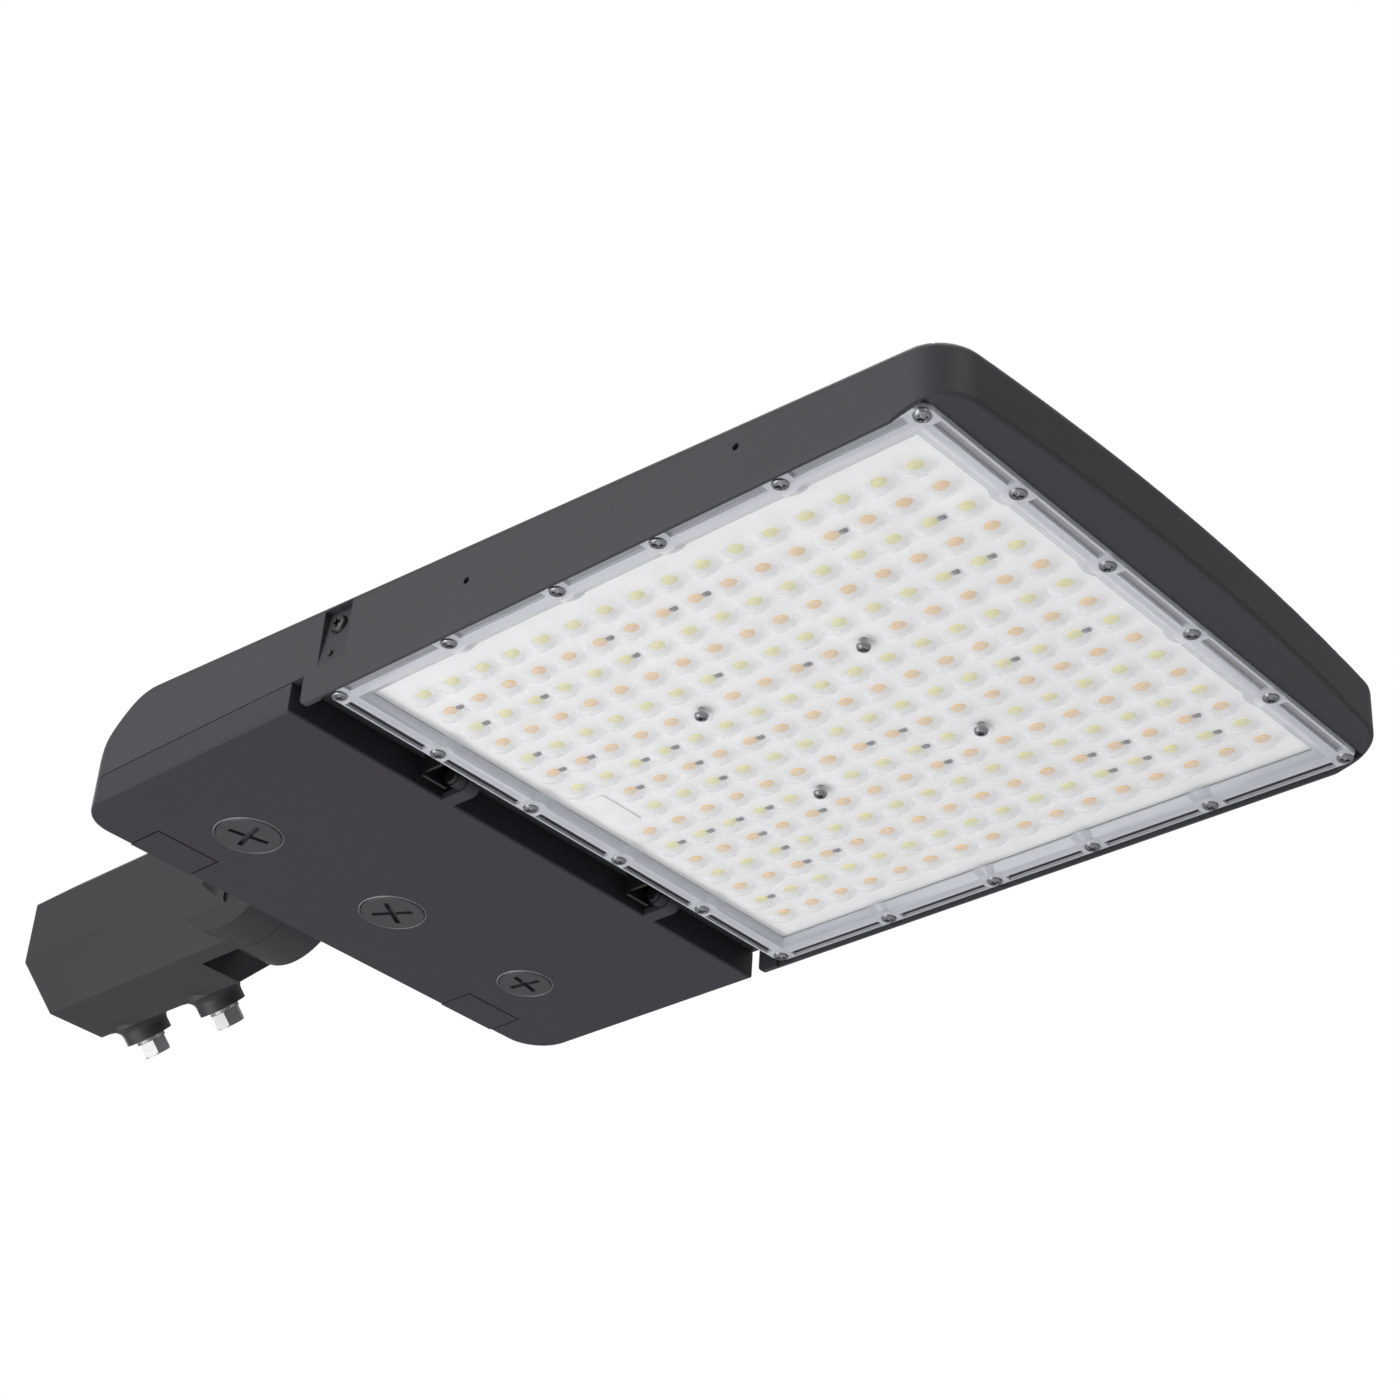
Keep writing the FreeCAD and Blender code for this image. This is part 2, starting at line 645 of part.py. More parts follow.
def plan_outline(inset):
    """The housing in plan, drawn in from its outside by an inset."""
    half = half_width - inset
    rear = box_rear + inset
    corner = d.rear_corner - inset
    front = nose_points(half, d.nose_bow - inset, d.nose_corner - inset, nose_tip - inset)
    return [(rear + corner, -half), *front, (rear + corner, half, corner, True),
            (rear, half - corner), (rear, -half + corner, corner, True)]


def cut_outside(sketch, corners):
    """A frame: a wide rectangle with the given outline as its hole."""
    rectangle(sketch, box_rear - 60, nose_tip + 60, -WELL_OUT, WELL_OUT)
    outline(sketch, corners)


def top_at(x, inset=0.0):
    """Height of the sloping top at an X."""
    crown_x = box_rear + d.crown_run
    slope = (d.crown_rise - d.nose_rise) / (nose_tip - crown_x)
    return lens_face + d.crown_rise - (size(x) - crown_x) * slope - inset


def sorted_levels(one, other):
    """Two levels, the lower first."""
    return sorted((one, other), key=lambda level: level.number)


def tail_corners(foot, inset):
    """The tail's two arcs, from the crown down to the foot, drawn in by an inset."""
    slope = (d.crown_rise - d.nose_rise) / (d.box_length - d.crown_run)
    stretch = root(slope * slope + 1)
    crown_x = box_rear + d.crown_run
    crown_z = lens_face + d.crown_rise
    centre_x = crown_x - slope / stretch * d.crown_radius
    centre_z = crown_z - d.crown_radius / stretch
    radius = d.crown_radius - inset
    shoulder_x = box_rear + d.shoulder_run + inset * 0.5
    across = centre_x - shoulder_x
    shoulder_z = centre_z + root(radius * radius - across * across)
    # The lower arc leaves the upper one without a kink and ends at the foot.
    to_x, to_z = shoulder_x - foot[0], shoulder_z - foot[1]
    lean = (across * to_x + (centre_z - shoulder_z) * to_z) / radius
    lower = -(to_x * to_x + to_z * to_z) / (lean * 2)
    start_x = crown_x - slope / stretch * inset
    start_z = crown_z - inset / stretch
    return [(start_x, start_z, radius, True), (shoulder_x, shoulder_z, lower, True), foot]


def make_housing_casting():
    """The casting's outside, with the channel's roof and ends, and the lens recess."""
    casting = new_body("housing_casting")
    nose_foot = lens_end + d.lens_gap
    beyond = nose_tip + 6
    crease = lens_face + d.nose_crease
    pad(casting, "XZ", -half_width, half_width, outline, [
        (notch_front, parting), (notch_front, rim_floor + d.ear_round, d.ear_round, True),
        (notch_front + d.ear_round, rim_floor),
        (nose_foot - 15, rim_floor), (nose_foot, lens_face + d.nose_lift), (nose_tip, crease),
        (beyond, crease), (beyond, top_at(beyond)),
        *tail_corners((box_rear, parting), size(0))])
    pocket(casting, "XY", -ABOVE, ABOVE, cut_outside, plan_outline(size(0)))
    round_edges(casting, is_top_edge, d.top_round)
    round_edges(casting, is_crease, d.crease_round)
    round_edges(casting, is_rim_edge, d.rim_round)
    # Channel between the door and the lamp section, open at both side walls.
    pocket(casting, "XY", rim_floor - 1, channel_roof, rectangle,
           door_front, lamp_rear, -wall_inside, wall_inside)
    # Lens recess, board recess.
    pocket(casting, "XY", rim_floor - 1, seat, rectangle,
           lamp_rear - 1, lens_end + d.lens_gap, -lens_half - d.lens_gap, lens_half + d.lens_gap)
    pocket(casting, "XY", seat - 1, board_face, rectangle,
           lens_start + d.board_margin, lens_end - d.board_margin,
           -lens_half + d.board_margin, lens_half - d.board_margin)
    return casting


def is_top_edge(shape, edge):
    """True for the edges where the top and tail meet the side walls, nose and corners."""
    rises = [face_rise(face) for face in shape.ancestorsOfType(edge, Part.Face)]
    return sum(rise > 0.15 for rise in rises) == 1 and sum(abs(rise) < 0.1 for rise in rises) == 1


def is_rim_edge(_, edge):
    """True for the lower outer edges of the side walls."""
    box = edge.BoundBox
    half = half_width.number
    on_side = abs(abs(box.YMin) - half) < 0.01 and abs(abs(box.YMax) - half) < 0.01
    return on_side and box.ZMax < rim_floor.number + 0.01


def is_crease(_, edge):
    """True for the nose's lower edges, round its corners too."""
    box = edge.BoundBox
    crease = (lens_face + d.nose_crease).number
    return box.XMin > (nose_tip - 40).number and box.ZMax < crease + 1 and box.XMax > (
        nose_tip - 9).number


def face_rise(face):
    """Upward part of a face's normal at its middle."""
    low_u, high_u, low_v, high_v = face.ParameterRange
    return face.normalAt((low_u + high_u) / 2, (low_v + high_v) / 2).z


def cut_fin_grooves(casting):
    """Cooling grooves from the top, over the channel's roof and the lamp section."""
    groove = (wall_inside * 2 - (d.fin_count - 1) * d.fin_thick) / d.fin_count
    start = door_front + 2
    step = lamp_rear + d.wall
    end = lens_end + d.wall
    roof_top = channel_roof + d.wall
    first = pocket(casting, "XZ", -wall_inside, groove - wall_inside, outline,
                   [(start, roof_top), (step, roof_top), (step + 6, groove_floor),
                    (end, groove_floor), (end, ABOVE), (start, ABOVE)])
    spread_in_line(casting, first, "Y", wall_inside * 2 - groove, d.fin_count)


def make_bay_core():
    """The gear bay's hollow, to be taken out of the casting."""
    core = new_body("bay_core")
    front = door_front - d.wall
    pad(core, "XZ", -wall_inside, wall_inside, outline, [
        (box_rear + d.wall, parting - 1), (front, parting - 1), (front, top_at(front, d.wall)),
        *tail_corners((box_rear + d.wall, parting + 1), d.wall)])
    pocket(core, "XY", -ABOVE, ABOVE, cut_outside, plan_outline(d.wall))
    return core


def bay_height():
    """Inside of the bay's top at the driver."""
    return top_at(door_front - 10, d.wall)


def make_inner_bosses():
    """What stands inside the casting: arm pad, latch ledges, posts and the lead's tunnel."""
    inner = new_body("housing_inner")
    pad(inner, "YZ", pad_face, pad_face + d.pad_depth, rectangle,
        -d.pad_width / 2, d.pad_width / 2, pad_low, pad_high)
    for side in SIDES:
        middle = side * d.latch_place
        pad(inner, "XZ", middle - 7, middle + 7, outline, ledge_corners())
    pad(inner, "XY", bracket_top(), top_at(port_x + 5, d.wall / 2), discs, bracket_posts(), 4.5)
    for place in (surge_place(), block_place(), ground_place()):
        pad(inner, "XY", bay_height(), bay_height() + 5.5, rectangle, *place)
    pad(inner, "XY", channel_roof + 1, lens_face + 26, rectangle,
        door_front - 1, lamp_rear + 1, -9, 9)
    pad(inner, "XY", groove_floor - 1, lens_face + 26, rectangle,
        lamp_rear, lead_x() + 7, -9, 9)
    for side in SIDES:
        levels = sorted_levels(side * (wall_inside + 1), side * (wall_inside - 6))
        if side < 0:
            pad(inner, "XZ", *levels, discs, shield_places(), 4.5)
        pad(inner, "XZ", *levels, rectangle, lamp_rear - 6, lamp_rear + 16,
            channel_roof + 1, lens_face + 43)
    return inner


def lead_x():
    """X of the lead's entry through the LED board, at the missing LEDs."""
    return led_place(1, 8)[0]


def lead_z():
    """Height of the tunnel from the bay to the LED board."""
    return lens_face + 20


def ledge_corners():
    """Side view of the ledge that a latch hook holds on to."""
    low = parting + 3
    return [(box_rear + 1.5, low), (box_rear + 11, low), (box_rear + 11, low + 3),
            (box_rear + 3.5, low + 3)]


def shield_places():
    """X and Z of the glare shield holes in the near side wall."""
    first = lamp_rear + d.shield_first
    return [(first, lens_face + d.shield_rise), (first + d.shield_pitch, lens_face + d.shield_rise)]


def bracket_top():
    """Underside of the posts that carry the switch bracket."""
    return parting + 14


def bracket_posts():
    """X and Y of the switch bracket's posts."""
    return [(port_x, -d.port_pitch / 2), (port_x, d.port_pitch / 2)]


def make_drillings():
    """Every hole in the casting that a fastener or lead goes through."""
    holes = new_body("housing_holes")
    screws = rim_screw_places()
    pad(holes, "XY", seat - 1, seat + 7, discs, screws, d.rim_screw / 2 - d.slack)
    pad(holes, "XY", board_face - 1, board_face + 4.6, discs, board_screw_places(), 1.5)
    pad(holes, "YZ", pad_face - 30, pad_face + d.pad_depth - 3, discs,
        arm_bolt_places(), d.arm_bolt / 2)
    pad(holes, "YZ", pad_face - 30, pad_face + d.pad_depth + 1, disc,
        d.wire_place + 2, wire_z(), d.wire_hole / 2)
    pad(holes, "XY", bracket_top() - 1, bracket_top() + 9, discs, bracket_posts(), 1.7)
    pad(holes, "YZ", door_front - d.wall - 1, lead_x(), disc, 0, lead_z(), 3.5)
    pad(holes, "XY", board_face - 1, lead_z() + 1, disc, lead_x(), 0, 3.5)
    for side in SIDES:
        outside, inside = side * (half_width + 1), side * (wall_inside - 5)
        through = sorted_levels(outside, inside)
        if side < 0:
            pad(holes, "XZ", *through, discs, shield_places(), d.shield_hole / 2)
        pad(holes, "XZ", *through, disc,
            lamp_rear + d.side_screw_place, lens_face + d.side_screw_rise, 2.2)
        pad(holes, "XZ", *through, disc,
            lamp_rear + d.side_screw_place - 1, lens_face + d.side_pin_rise, 1.5)
        # The recess round the side screw is deepest at its top.
        pad(holes, "YZ", lamp_rear - 4, lamp_rear + 13.5, outline,
            [(side * half_width, lens_face + 14), (side * (half_width - 3.4), lens_face + 42),
             (outside, lens_face + 42), (outside, lens_face + 14)])
        pad(holes, "XZ", *sorted_levels(outside, side * (half_width - 2.6)), disc,
            lamp_rear + d.side_screw_place, lens_face + d.side_screw_rise, 4.8)
    pad(holes, "XY", driver_top() - 1, driver_top() + 6, discs, driver_screw_places(), 1.7)
    pad(holes, "XY", channel_roof - 1, channel_roof + 2.6, discs, hinge_screw_places(), 1.5)
    x_ground, _, y_ground, _ = ground_place()
    pad(holes, "XY", bay_height() - 1, bay_height() + 3.2, disc, x_ground + 6, y_ground + 6, 2)
    return holes


def make_housing():
    """The whole housing casting."""
    casting = make_housing_casting()
    cut_fin_grooves(casting)
    # A flat place for the arm in the curved tail.
    pocket(casting, "YZ", box_rear - 1, pad_face, rectangle,
           -d.pad_width / 2, d.pad_width / 2, pad_low, ABOVE)
    hollow = combined("housing_hollow", "Cut", casting, [make_bay_core()])
    filled = combined("housing_filled", "Fuse", hollow, [make_inner_bosses(), make_driver_posts()])
    return [combined("housing", "Cut", filled, [make_drillings()])]


# ------------------------------------------------------------------ lamp section
def rim_screw_places():
    """X and Y of the 20 rim screws: six to a side, shared at the corners."""
    along = (0.0, 0.214, 0.413, 0.587, 0.786, 1.0)
    across = (0.0, 0.2, 0.4, 0.6, 0.8, 1.0)
    x_low, x_span = lens_start + d.screw_inset, d.lens_length - d.screw_inset * 2
    y_low, y_span = d.screw_inset - lens_half, d.lens_width - d.screw_inset * 2
    places = [(x_low + x_span * a, y_low + y_span * b) for a in along for b in (0.0, 1.0)]
    places += [(x_low + x_span * a, y_low + y_span * b) for a in (0.0, 1.0) for b in across[1:-1]]
    return places


def led_place(column, row):
    """X and Y of an LED, counted from the rear near corner."""
    return (lens_middle + d.led_pitch_x * (column - 0.5 - d.led_columns / 2),
            d.led_pitch_y * (row - 0.5 - d.led_rows / 2))


BOARD_SCREW_LEDS = ((6, 6), (11, 6), (6, 11), (11, 11))
LEAD_ENTRY_LEDS = ((1, 8), (1, 9))


def board_screw_places():
    """X and Y of the four screws that stand among the LEDs."""
    return [led_place(column, row) for column, row in BOARD_SCREW_LEDS]


def lens_plan(inset):
    """The lens in plan with its corners cut off."""
    x_low, x_high, half, cut = lens_start + inset, lens_end - inset, lens_half - inset, d.lens_bevel
    return [(x_low + cut, -half), (x_high - cut, -half), (x_high, -half + cut),
            (x_high, half - cut), (x_high - cut, half), (x_low + cut, half),
            (x_low, half - cut), (x_low, -half + cut)]


def make_lens():
    """Clear one-piece cover: rim with pockets between the screws, and a sunk panel."""
    lens = new_body("lens_cover")
    sunk = d.board_margin + 2
    panel_inner = lens_face + d.panel_rise + d.panel_thick
    pad(lens, "XY", lens_face, lens_face + d.lens_rim, outline, lens_plan(size(0)))
    pad(lens, "XY", lens_face + 1, panel_inner, rectangle,
        lens_start + sunk, lens_end - sunk, -lens_half + sunk, lens_half - sunk)
    pocket(lens, "XY", lens_face - 1, lens_face + d.panel_rise, rectangle,
           lens_start + sunk + 2, lens_end - sunk - 2, -lens_half + sunk + 2, lens_half - sunk - 2)
    pocket(lens, "XY", lens_face - 1, lens_face + 1, discs,
           rim_screw_places(), d.rim_screw_head / 2 + d.slack)
    pocket(lens, "XY", lens_face - 1, seat, discs, rim_screw_places(), d.rim_screw / 2 + d.slack)
    pocket(lens, "XY", lens_face - 1, seat, discs, board_screw_places(), 1.9)
    return lens


def make_lens_gasket():
    """Silicone ring between the lens rim and its seat."""
    gasket = new_body("lens_gasket")
    low, high = lens_face + d.lens_rim, seat
    edge = d.board_margin - 0.5
    pad(gasket, "XY", low, high, outline, lens_plan(size(0.5)))
    pocket(gasket, "XY", low - 1, high + 1, rectangle,
           lens_start + edge, lens_end - edge, -lens_half + edge, lens_half - edge)
    pocket(gasket, "XY", low - 1, high + 1, discs, rim_screw_places(), d.rim_screw / 2 + d.slack)
    return gasket


def make_screws(label, places, seat_z, head, head_rise, thread, reach):
    """Pan-head screws that point up, heads down, with a cross recess."""
    screws = new_body(label)
    pad(screws, "XY", size(seat_z) - head_rise, seat_z, discs, places, size(head) / 2)
    pad(screws, "XY", seat_z, size(seat_z) + reach, discs, places, size(thread) / 2)
    return screws


def make_board():
    """The LED board, with its lead hole."""
    board = new_body("led_board")
    edge = d.board_margin + d.board_gap
    low = board_face - d.board_thick
    pad(board, "XY", low, board_face, rectangle,
        lens_start + edge, lens_end - edge, -lens_half + edge, lens_half - edge)
    pocket(board, "XY", low - 1, board_face + 1, discs, board_screw_places(), 1.9)
    pocket(board, "XY", low - 1, board_face + 1, disc, lead_x(), 0, 3)
    return board


def make_chips(label, remainder):
    """The LED chips of the odd or even rows, each a solid of its own."""
    left_out = BOARD_SCREW_LEDS + LEAD_ENTRY_LEDS
    long_side, short_side, thick = 3.5, 2.8, 0.6
    low = board_face.number - d.board_thick.number - thick
    chips = []
    for row in range(1, int(d.led_rows.number) + 1):
        for column in range(1, int(d.led_columns.number) + 1):
            if row % 2 == remainder and (column, row) not in left_out:
                x, y = led_place(column, row)
                corner = Vector(x.number - long_side / 2, y.number - short_side / 2, low)
                chips.append(Part.makeBox(long_side, short_side, thick, corner))
    group = doc.addObject("Part::Feature", label)
    group.Label = label
    group.Shape = Part.makeCompound(chips)
    return group


# ------------------------------------------------------------------ door
def door_plan(inset):
    """The door in plan: rounded at the rear, square at the channel."""
    half = half_width - inset
    rear = box_rear + inset
    corner = d.rear_corner - inset
    front = door_front - inset
    return [(rear + corner, -half), (front, -half), (front, half),
            (rear + corner, half, corner, True), (rear, half - corner),
            (rear, -half + corner, corner, True)]


def ring(sketch, outer, inner):
    """Two outlines, one inside the other."""
    outline(sketch, outer)
    outline(sketch, inner)


def ports():
    """Name, Y, plug diameter and turn of the cross slot in degrees, for the three ports."""
    return (("power", -d.port_pitch, d.port_plug, -16), ("colour", size(0), d.port_plug, 30),
            ("sensor", d.port_pitch, d.sensor_plug, 10))


def hinge_arm_places():
    """Y of the middle of each hinge arm."""
    return [side * d.hinge_pitch / 2 + d.hinge_place for side in SIDES]


def make_door():
    """The shallow tray that closes the gear bay."""
    door = new_body("door")
    pad(door, "XY", rim_floor, door_top, outline, door_plan(size(0)))
    round_edges(door, is_door_bottom_edge, 1.2)
    pocket(door, "XY", rim_floor + d.door_floor, door_top + 1, outline, door_plan(d.door_wall))
    inset = (d.door_wall - d.gasket_width) / 2
    pocket(door, "XY", door_top - d.gasket_depth, door_top + 1, ring,
           door_plan(inset), door_plan(inset + d.gasket_width))
    for _, y, plug, _ in ports():
        pad(door, "XY", rim_floor + d.door_floor / 2, rim_floor + 9, disc, port_x, y, plug / 2 + 4)
        pocket(door, "XY", rim_floor - 1, rim_floor + d.plug_head - d.plug_proud + d.plug_ring,
               disc, port_x, y, plug / 2 + d.slack)
        pocket(door, "XY", rim_floor, rim_floor + 10, disc, port_x, y, plug / 2 - 3 + d.slack)
    for side in SIDES:
        middle = side * d.latch_place
        reach = d.latch_width / 2 + d.latch_gap
        for edge in (middle - reach - 2.5, middle + reach):
            pad(door, "XZ", edge, edge + 2.5, rectangle,
                box_rear + 2, box_rear + 19, rim_floor + 1, rim_floor + 11)
        pocket(door, "XY", rim_floor - 1, rim_floor + 10.6, rectangle, box_rear - 1,
               box_rear + d.latch_depth + d.latch_gap, middle - reach, middle + reach)
        pocket(door, "XZ", middle - reach - 3, middle + reach + 3, disc,
               latch_axis_x, latch_axis_z, d.latch_pin / 2 + d.running)
    for middle in hinge_arm_places():
        low, high = middle - d.hinge_arm / 2, middle + d.hinge_arm / 2
        pad(door, "XZ", low, high, outline,
            [(door_front - 1, rim_floor), (hinge_x, rim_floor), (hinge_x, rim_floor + 3.2),
             (door_front - 1, rim_floor + 3.2)])
        pad(door, "XZ", low, high, disc, hinge_x, hinge_z, d.hinge_barrel)
        pocket(door, "XZ", low - 1, high + 1, disc, hinge_x, hinge_z,
               d.hinge_pin / 2 + d.running)
    return door


def is_door_bottom_edge(_, edge):
    """True for the outer bottom edges of the door."""
    return edge.BoundBox.ZMax < rim_floor.number + 0.01


def make_door_gasket():
    """Cord seal in the groove of the door's edge."""
    gasket = new_body("door_gasket")
    inset = (d.door_wall - d.gasket_width) / 2
    pad(gasket, "XY", door_top - d.gasket_depth, door_top + d.door_gap - 0.1, ring,
        door_plan(inset), door_plan(inset + d.gasket_width))
    return gasket


def make_plug(name, y, plug, turn):
    """A screwed plug with a cross slot, and its seal."""
    body = new_body(f"{name}_plug")
    face = rim_floor - d.plug_proud
    under = face + d.plug_head
    stem = plug / 2 - 3
    arm = plug * 0.33
    slot = d.plug_slot / 2
    pad(body, "XY", face, under, disc, port_x, y, plug / 2)
    pad(body, "XY", under, rim_floor + 9.5, disc, port_x, y, stem)
    round_edges(body, lambda _, edge: edge.BoundBox.ZMax < face.number + 0.01, 0.5)
    pocket(body, "XY", face - 1, face + 2, outline,
           cross_corners(port_x, y, arm, slot, turn))
    seal = doc.addObject("Part::Torus", f"{name}_plug_seal")
    seal.Label = f"{name}_plug_seal"
    bind(seal, "Radius1", stem + d.plug_ring / 2 + d.slack / 2)
    bind(seal, "Radius2", d.plug_ring / 2)
    bind(seal, "Placement.Base.x", port_x)
    bind(seal, "Placement.Base.y", y)
    bind(seal, "Placement.Base.z", under + d.plug_ring / 2)
    return [body, seal]


def cross_corners(x, y, arm, slot, turn):
    """A cross slot's outline, turned by some degrees from X and Y."""
    along, across = math.cos(math.radians(turn)), math.sin(math.radians(turn))
    quadrant = [(arm, slot), (slot, slot), (slot, arm)]
    turned = [(q[0], q[1]) for q in quadrant]
    turned += [(-q[0], q[1]) for q in reversed(quadrant)]
    turned += [(-q[0], -q[1]) for q in quadrant]
    turned += [(q[0], -q[1]) for q in reversed(quadrant)]
    return [(x + a * along - b * across, y + a * across + b * along) for a, b in turned]


def make_latch(name, side):
    """A finger latch: flush plate, rear lip and the hook that holds the door shut."""
    latch = new_body(f"latch_{name}")
    middle = side * d.latch_place
    half = d.latch_width / 2
    pad(latch, "XY", rim_floor, rim_floor + d.door_floor, rectangle,
        box_rear, box_rear + d.latch_depth, middle - half, middle + half)
    pad(latch, "XZ", middle - half, middle + half, rectangle,
        box_rear, box_rear + 2.5, rim_floor, rim_floor + 5)
    for low in (middle - half, middle + half - 4):
        pad(latch, "XZ", low, low + 4, disc, latch_axis_x, latch_axis_z, 4.2)
        pad(latch, "XZ", low, low + 4, rectangle,
            latch_axis_x - 4.2, latch_axis_x + 4.2, rim_floor + 1, latch_axis_z)
    hook = parting + 3 + 3 + d.slack
    pad(latch, "XZ", middle - 5, middle + 5, outline,
        [(box_rear + 11.6, rim_floor + 1), (box_rear + 14.6, rim_floor + 1),
         (box_rear + 14.6, hook + 3), (box_rear + 12, hook + 3), (box_rear + 8, hook),
         (box_rear + 11.6, hook)])
    pocket(latch, "XZ", middle - half - 1, middle + half + 1, disc,
           latch_axis_x, latch_axis_z, d.latch_pin / 2 + d.running)
    pin = new_body(f"latch_pin_{name}")
    reach = half + d.latch_gap + 2.5
    pad(pin, "XZ", middle - reach, middle + reach, disc,
        latch_axis_x, latch_axis_z, d.latch_pin / 2)
    return [latch, pin]


# ------------------------------------------------------------------ door hinges
def hinge_screw_places():
    """X and Y of the screws that hold the hinge brackets to the channel's roof."""
    return [(hinge_x, middle - d.hinge_arm / 2 - 9) for middle in hinge_arm_places()]


def make_hinges():
    """Brackets under the channel's roof, their screws and the hinge pins."""
    brackets = new_body("hinge_brackets")
    pins = new_body("hinge_pins")
    barrel = d.hinge_barrel - 0.6
    for middle in hinge_arm_places():
        arm_low = middle - d.hinge_arm / 2
        lug = (arm_low - 5 - d.slack, arm_low - d.slack)
        wall_y = arm_low - 18
        pad(brackets, "XY", channel_roof - 2, channel_roof, rectangle,
            hinge_x - 6, hinge_x + 6, wall_y, lug[1])
        pad(brackets, "XZ", lug[0], lug[1], outline,
            [(hinge_x - barrel, channel_roof - 1), (hinge_x - barrel, hinge_z, barrel, True),
             (hinge_x, hinge_z - barrel, barrel, True), (hinge_x + barrel, hinge_z),
             (hinge_x + barrel, channel_roof - 1)])
        pad(brackets, "YZ", hinge_x - 6, hinge_x - 4.6, rectangle,
            wall_y, lug[0] + 1, rim_floor + 1.2, channel_roof - 1)
        pad(brackets, "XZ", wall_y, wall_y + 1.4, rectangle,
            hinge_x - 5, hinge_x + 6, rim_floor + 3, channel_roof - 1)
        pocket(brackets, "XZ", lug[0] - 1, lug[1] + 1, disc, hinge_x, hinge_z, d.hinge_pin / 2)
        pad(pins, "XZ", lug[0] - 2.2, lug[0], disc, hinge_x, hinge_z, d.hinge_pin / 2 + 1.2)
        pad(pins, "XZ", lug[0], middle + d.hinge_arm / 2 + 1, disc,
            hinge_x, hinge_z, d.hinge_pin / 2)
    pocket(brackets, "XY", channel_roof - 3, channel_roof + 1, discs, hinge_screw_places(), 1.7)
    screws = make_screws("hinge_screws", hinge_screw_places(), channel_roof - 2, 5.4, 1.8, 3, 4.4)
    return [brackets, pins, screws]


# ------------------------------------------------------------------ gear in the bay
def driver_x():
    """Rear face of the driver."""
    return door_front - d.wall - 5 - d.driver_width


def driver_y():
    """Near end of the driver."""
    return -d.driver_length / 2 + 8


def driver_top():
    """Top face of the driver, on its posts."""
    return bay_height() - 3


def driver_screw_places():
    """X and Y of the driver's screws."""
    middle = driver_x() + d.driver_width / 2
    return [(middle, driver_y() - 5), (middle, driver_y() + d.driver_length + 5)]


def make_driver_posts():
    """Pads under the bay's top that the driver's ears are screwed to."""
    posts = new_body("driver_posts")
    pad(posts, "XY", driver_top(), bay_height() + d.wall, discs, driver_screw_places(), 5)
    return posts


def make_driver():
    """Potted driver can with two screw ears."""
    driver = new_body("led_driver")
    top = driver_top()
    low = top - d.driver_height
    pad(driver, "XY", low, top, rectangle, driver_x(), driver_x() + d.driver_width,
        driver_y(), driver_y() + d.driver_length)
    middle = driver_x() + d.driver_width / 2
    pad(driver, "XY", top - 2, top, rectangle, middle - 12, middle + 12,
        driver_y() - 10, driver_y() + d.driver_length + 10)
    pocket(driver, "XY", top - 3, top + 1, discs, driver_screw_places(), 2)
    screws = make_screws("driver_screws", driver_screw_places(), top - 2, 7, 2.4, 3.4, 7)
    return [driver, screws]


def make_switches():
    """Bracket with the power and colour selectors and the sensor socket."""
    bracket = new_body("switch_bracket")
    level = bracket_top()
    half = d.port_pitch + 16
    pad(bracket, "XY", level - 1.6, level, rectangle, port_x - 12, port_x + 12, -half, half)
    pocket(bracket, "XY", level - 3, level + 1, discs, bracket_posts(), 2)
    screws = make_screws("bracket_screws", bracket_posts(), level - 1.6, 6.4, 2.2, 3.4, 7)
    made = [bracket, screws]
    case_low = level - 1.6 - 9
    for name, y, _, _ in ports()[:2]:
        case = new_body(f"{name}_selector")
        pad(case, "XY", case_low, level - 1.6, rectangle, port_x - 9, port_x + 9, y - 9, y + 9)
        pocket(case, "XY", case_low - 1, case_low + 6, disc, port_x, y, 3 + d.running)
        knob = new_body(f"{name}_knob")
        pad(knob, "XY", case_low - 5.3, case_low - 0.3, disc, port_x, y, 6.5)
        pad(knob, "XY", case_low - 0.4, case_low + 5, disc, port_x, y, 3)
        pad(knob, "XY", case_low - 6.5, case_low - 5.2, rectangle,
            port_x - 5, port_x + 5, y - 1, y + 1)
        made += [case, knob]
    socket = new_body("sensor_socket")
    y = d.port_pitch
    pad(socket, "XY", case_low - 5, level - 1.6, disc, port_x, y, 8.5)
    pocket(socket, "XY", case_low - 6, case_low + 4, disc, port_x, y, 6)
    pad(socket, "XY", case_low - 2, case_low + 5, disc, port_x, y, 2)
    made.append(socket)
    return made


def surge_place():
    """Footprint of the surge protector: two X and two Y levels."""
    return (box_rear + 36, box_rear + 70, -half_width + 14, -half_width + 42)


def block_place():
    """Footprint of the terminal block."""
    return (box_rear + 58, box_rear + 76, d.wire_place - 4, d.wire_place + 32)


def ground_place():
    """Footprint of the pad for the ground screw."""
    return (box_rear + 60, box_rear + 72, d.wire_place + 40, d.wire_place + 52)


def make_supply_parts():
    """Surge protector, terminal block and ground screw near the wire entry."""
    top = bay_height()
    surge = new_body("surge_protector")
    pad(surge, "XY", top - 26, top, rectangle, *surge_place())
    block = new_body("terminal_block")
    x_low, x_high, y_low, _ = block_place()
    pad(block, "XY", top - 17, top, rectangle, *block_place())
    for index in range(3):
        y = y_low + 6 + index * 12
        pocket(block, "YZ", x_low - 1, x_low + 9, disc, y, top - 10, 2.6)
        pocket(block, "XY", top - 18, top - 14, disc, x_high - 5, y, 3)
    x_ground, _, y_ground, _ = ground_place()
    ground = make_screws("ground_screw", [(x_ground + 6, y_ground + 6)], top, 8, 3, 4, 3)
    return [surge, block, ground]


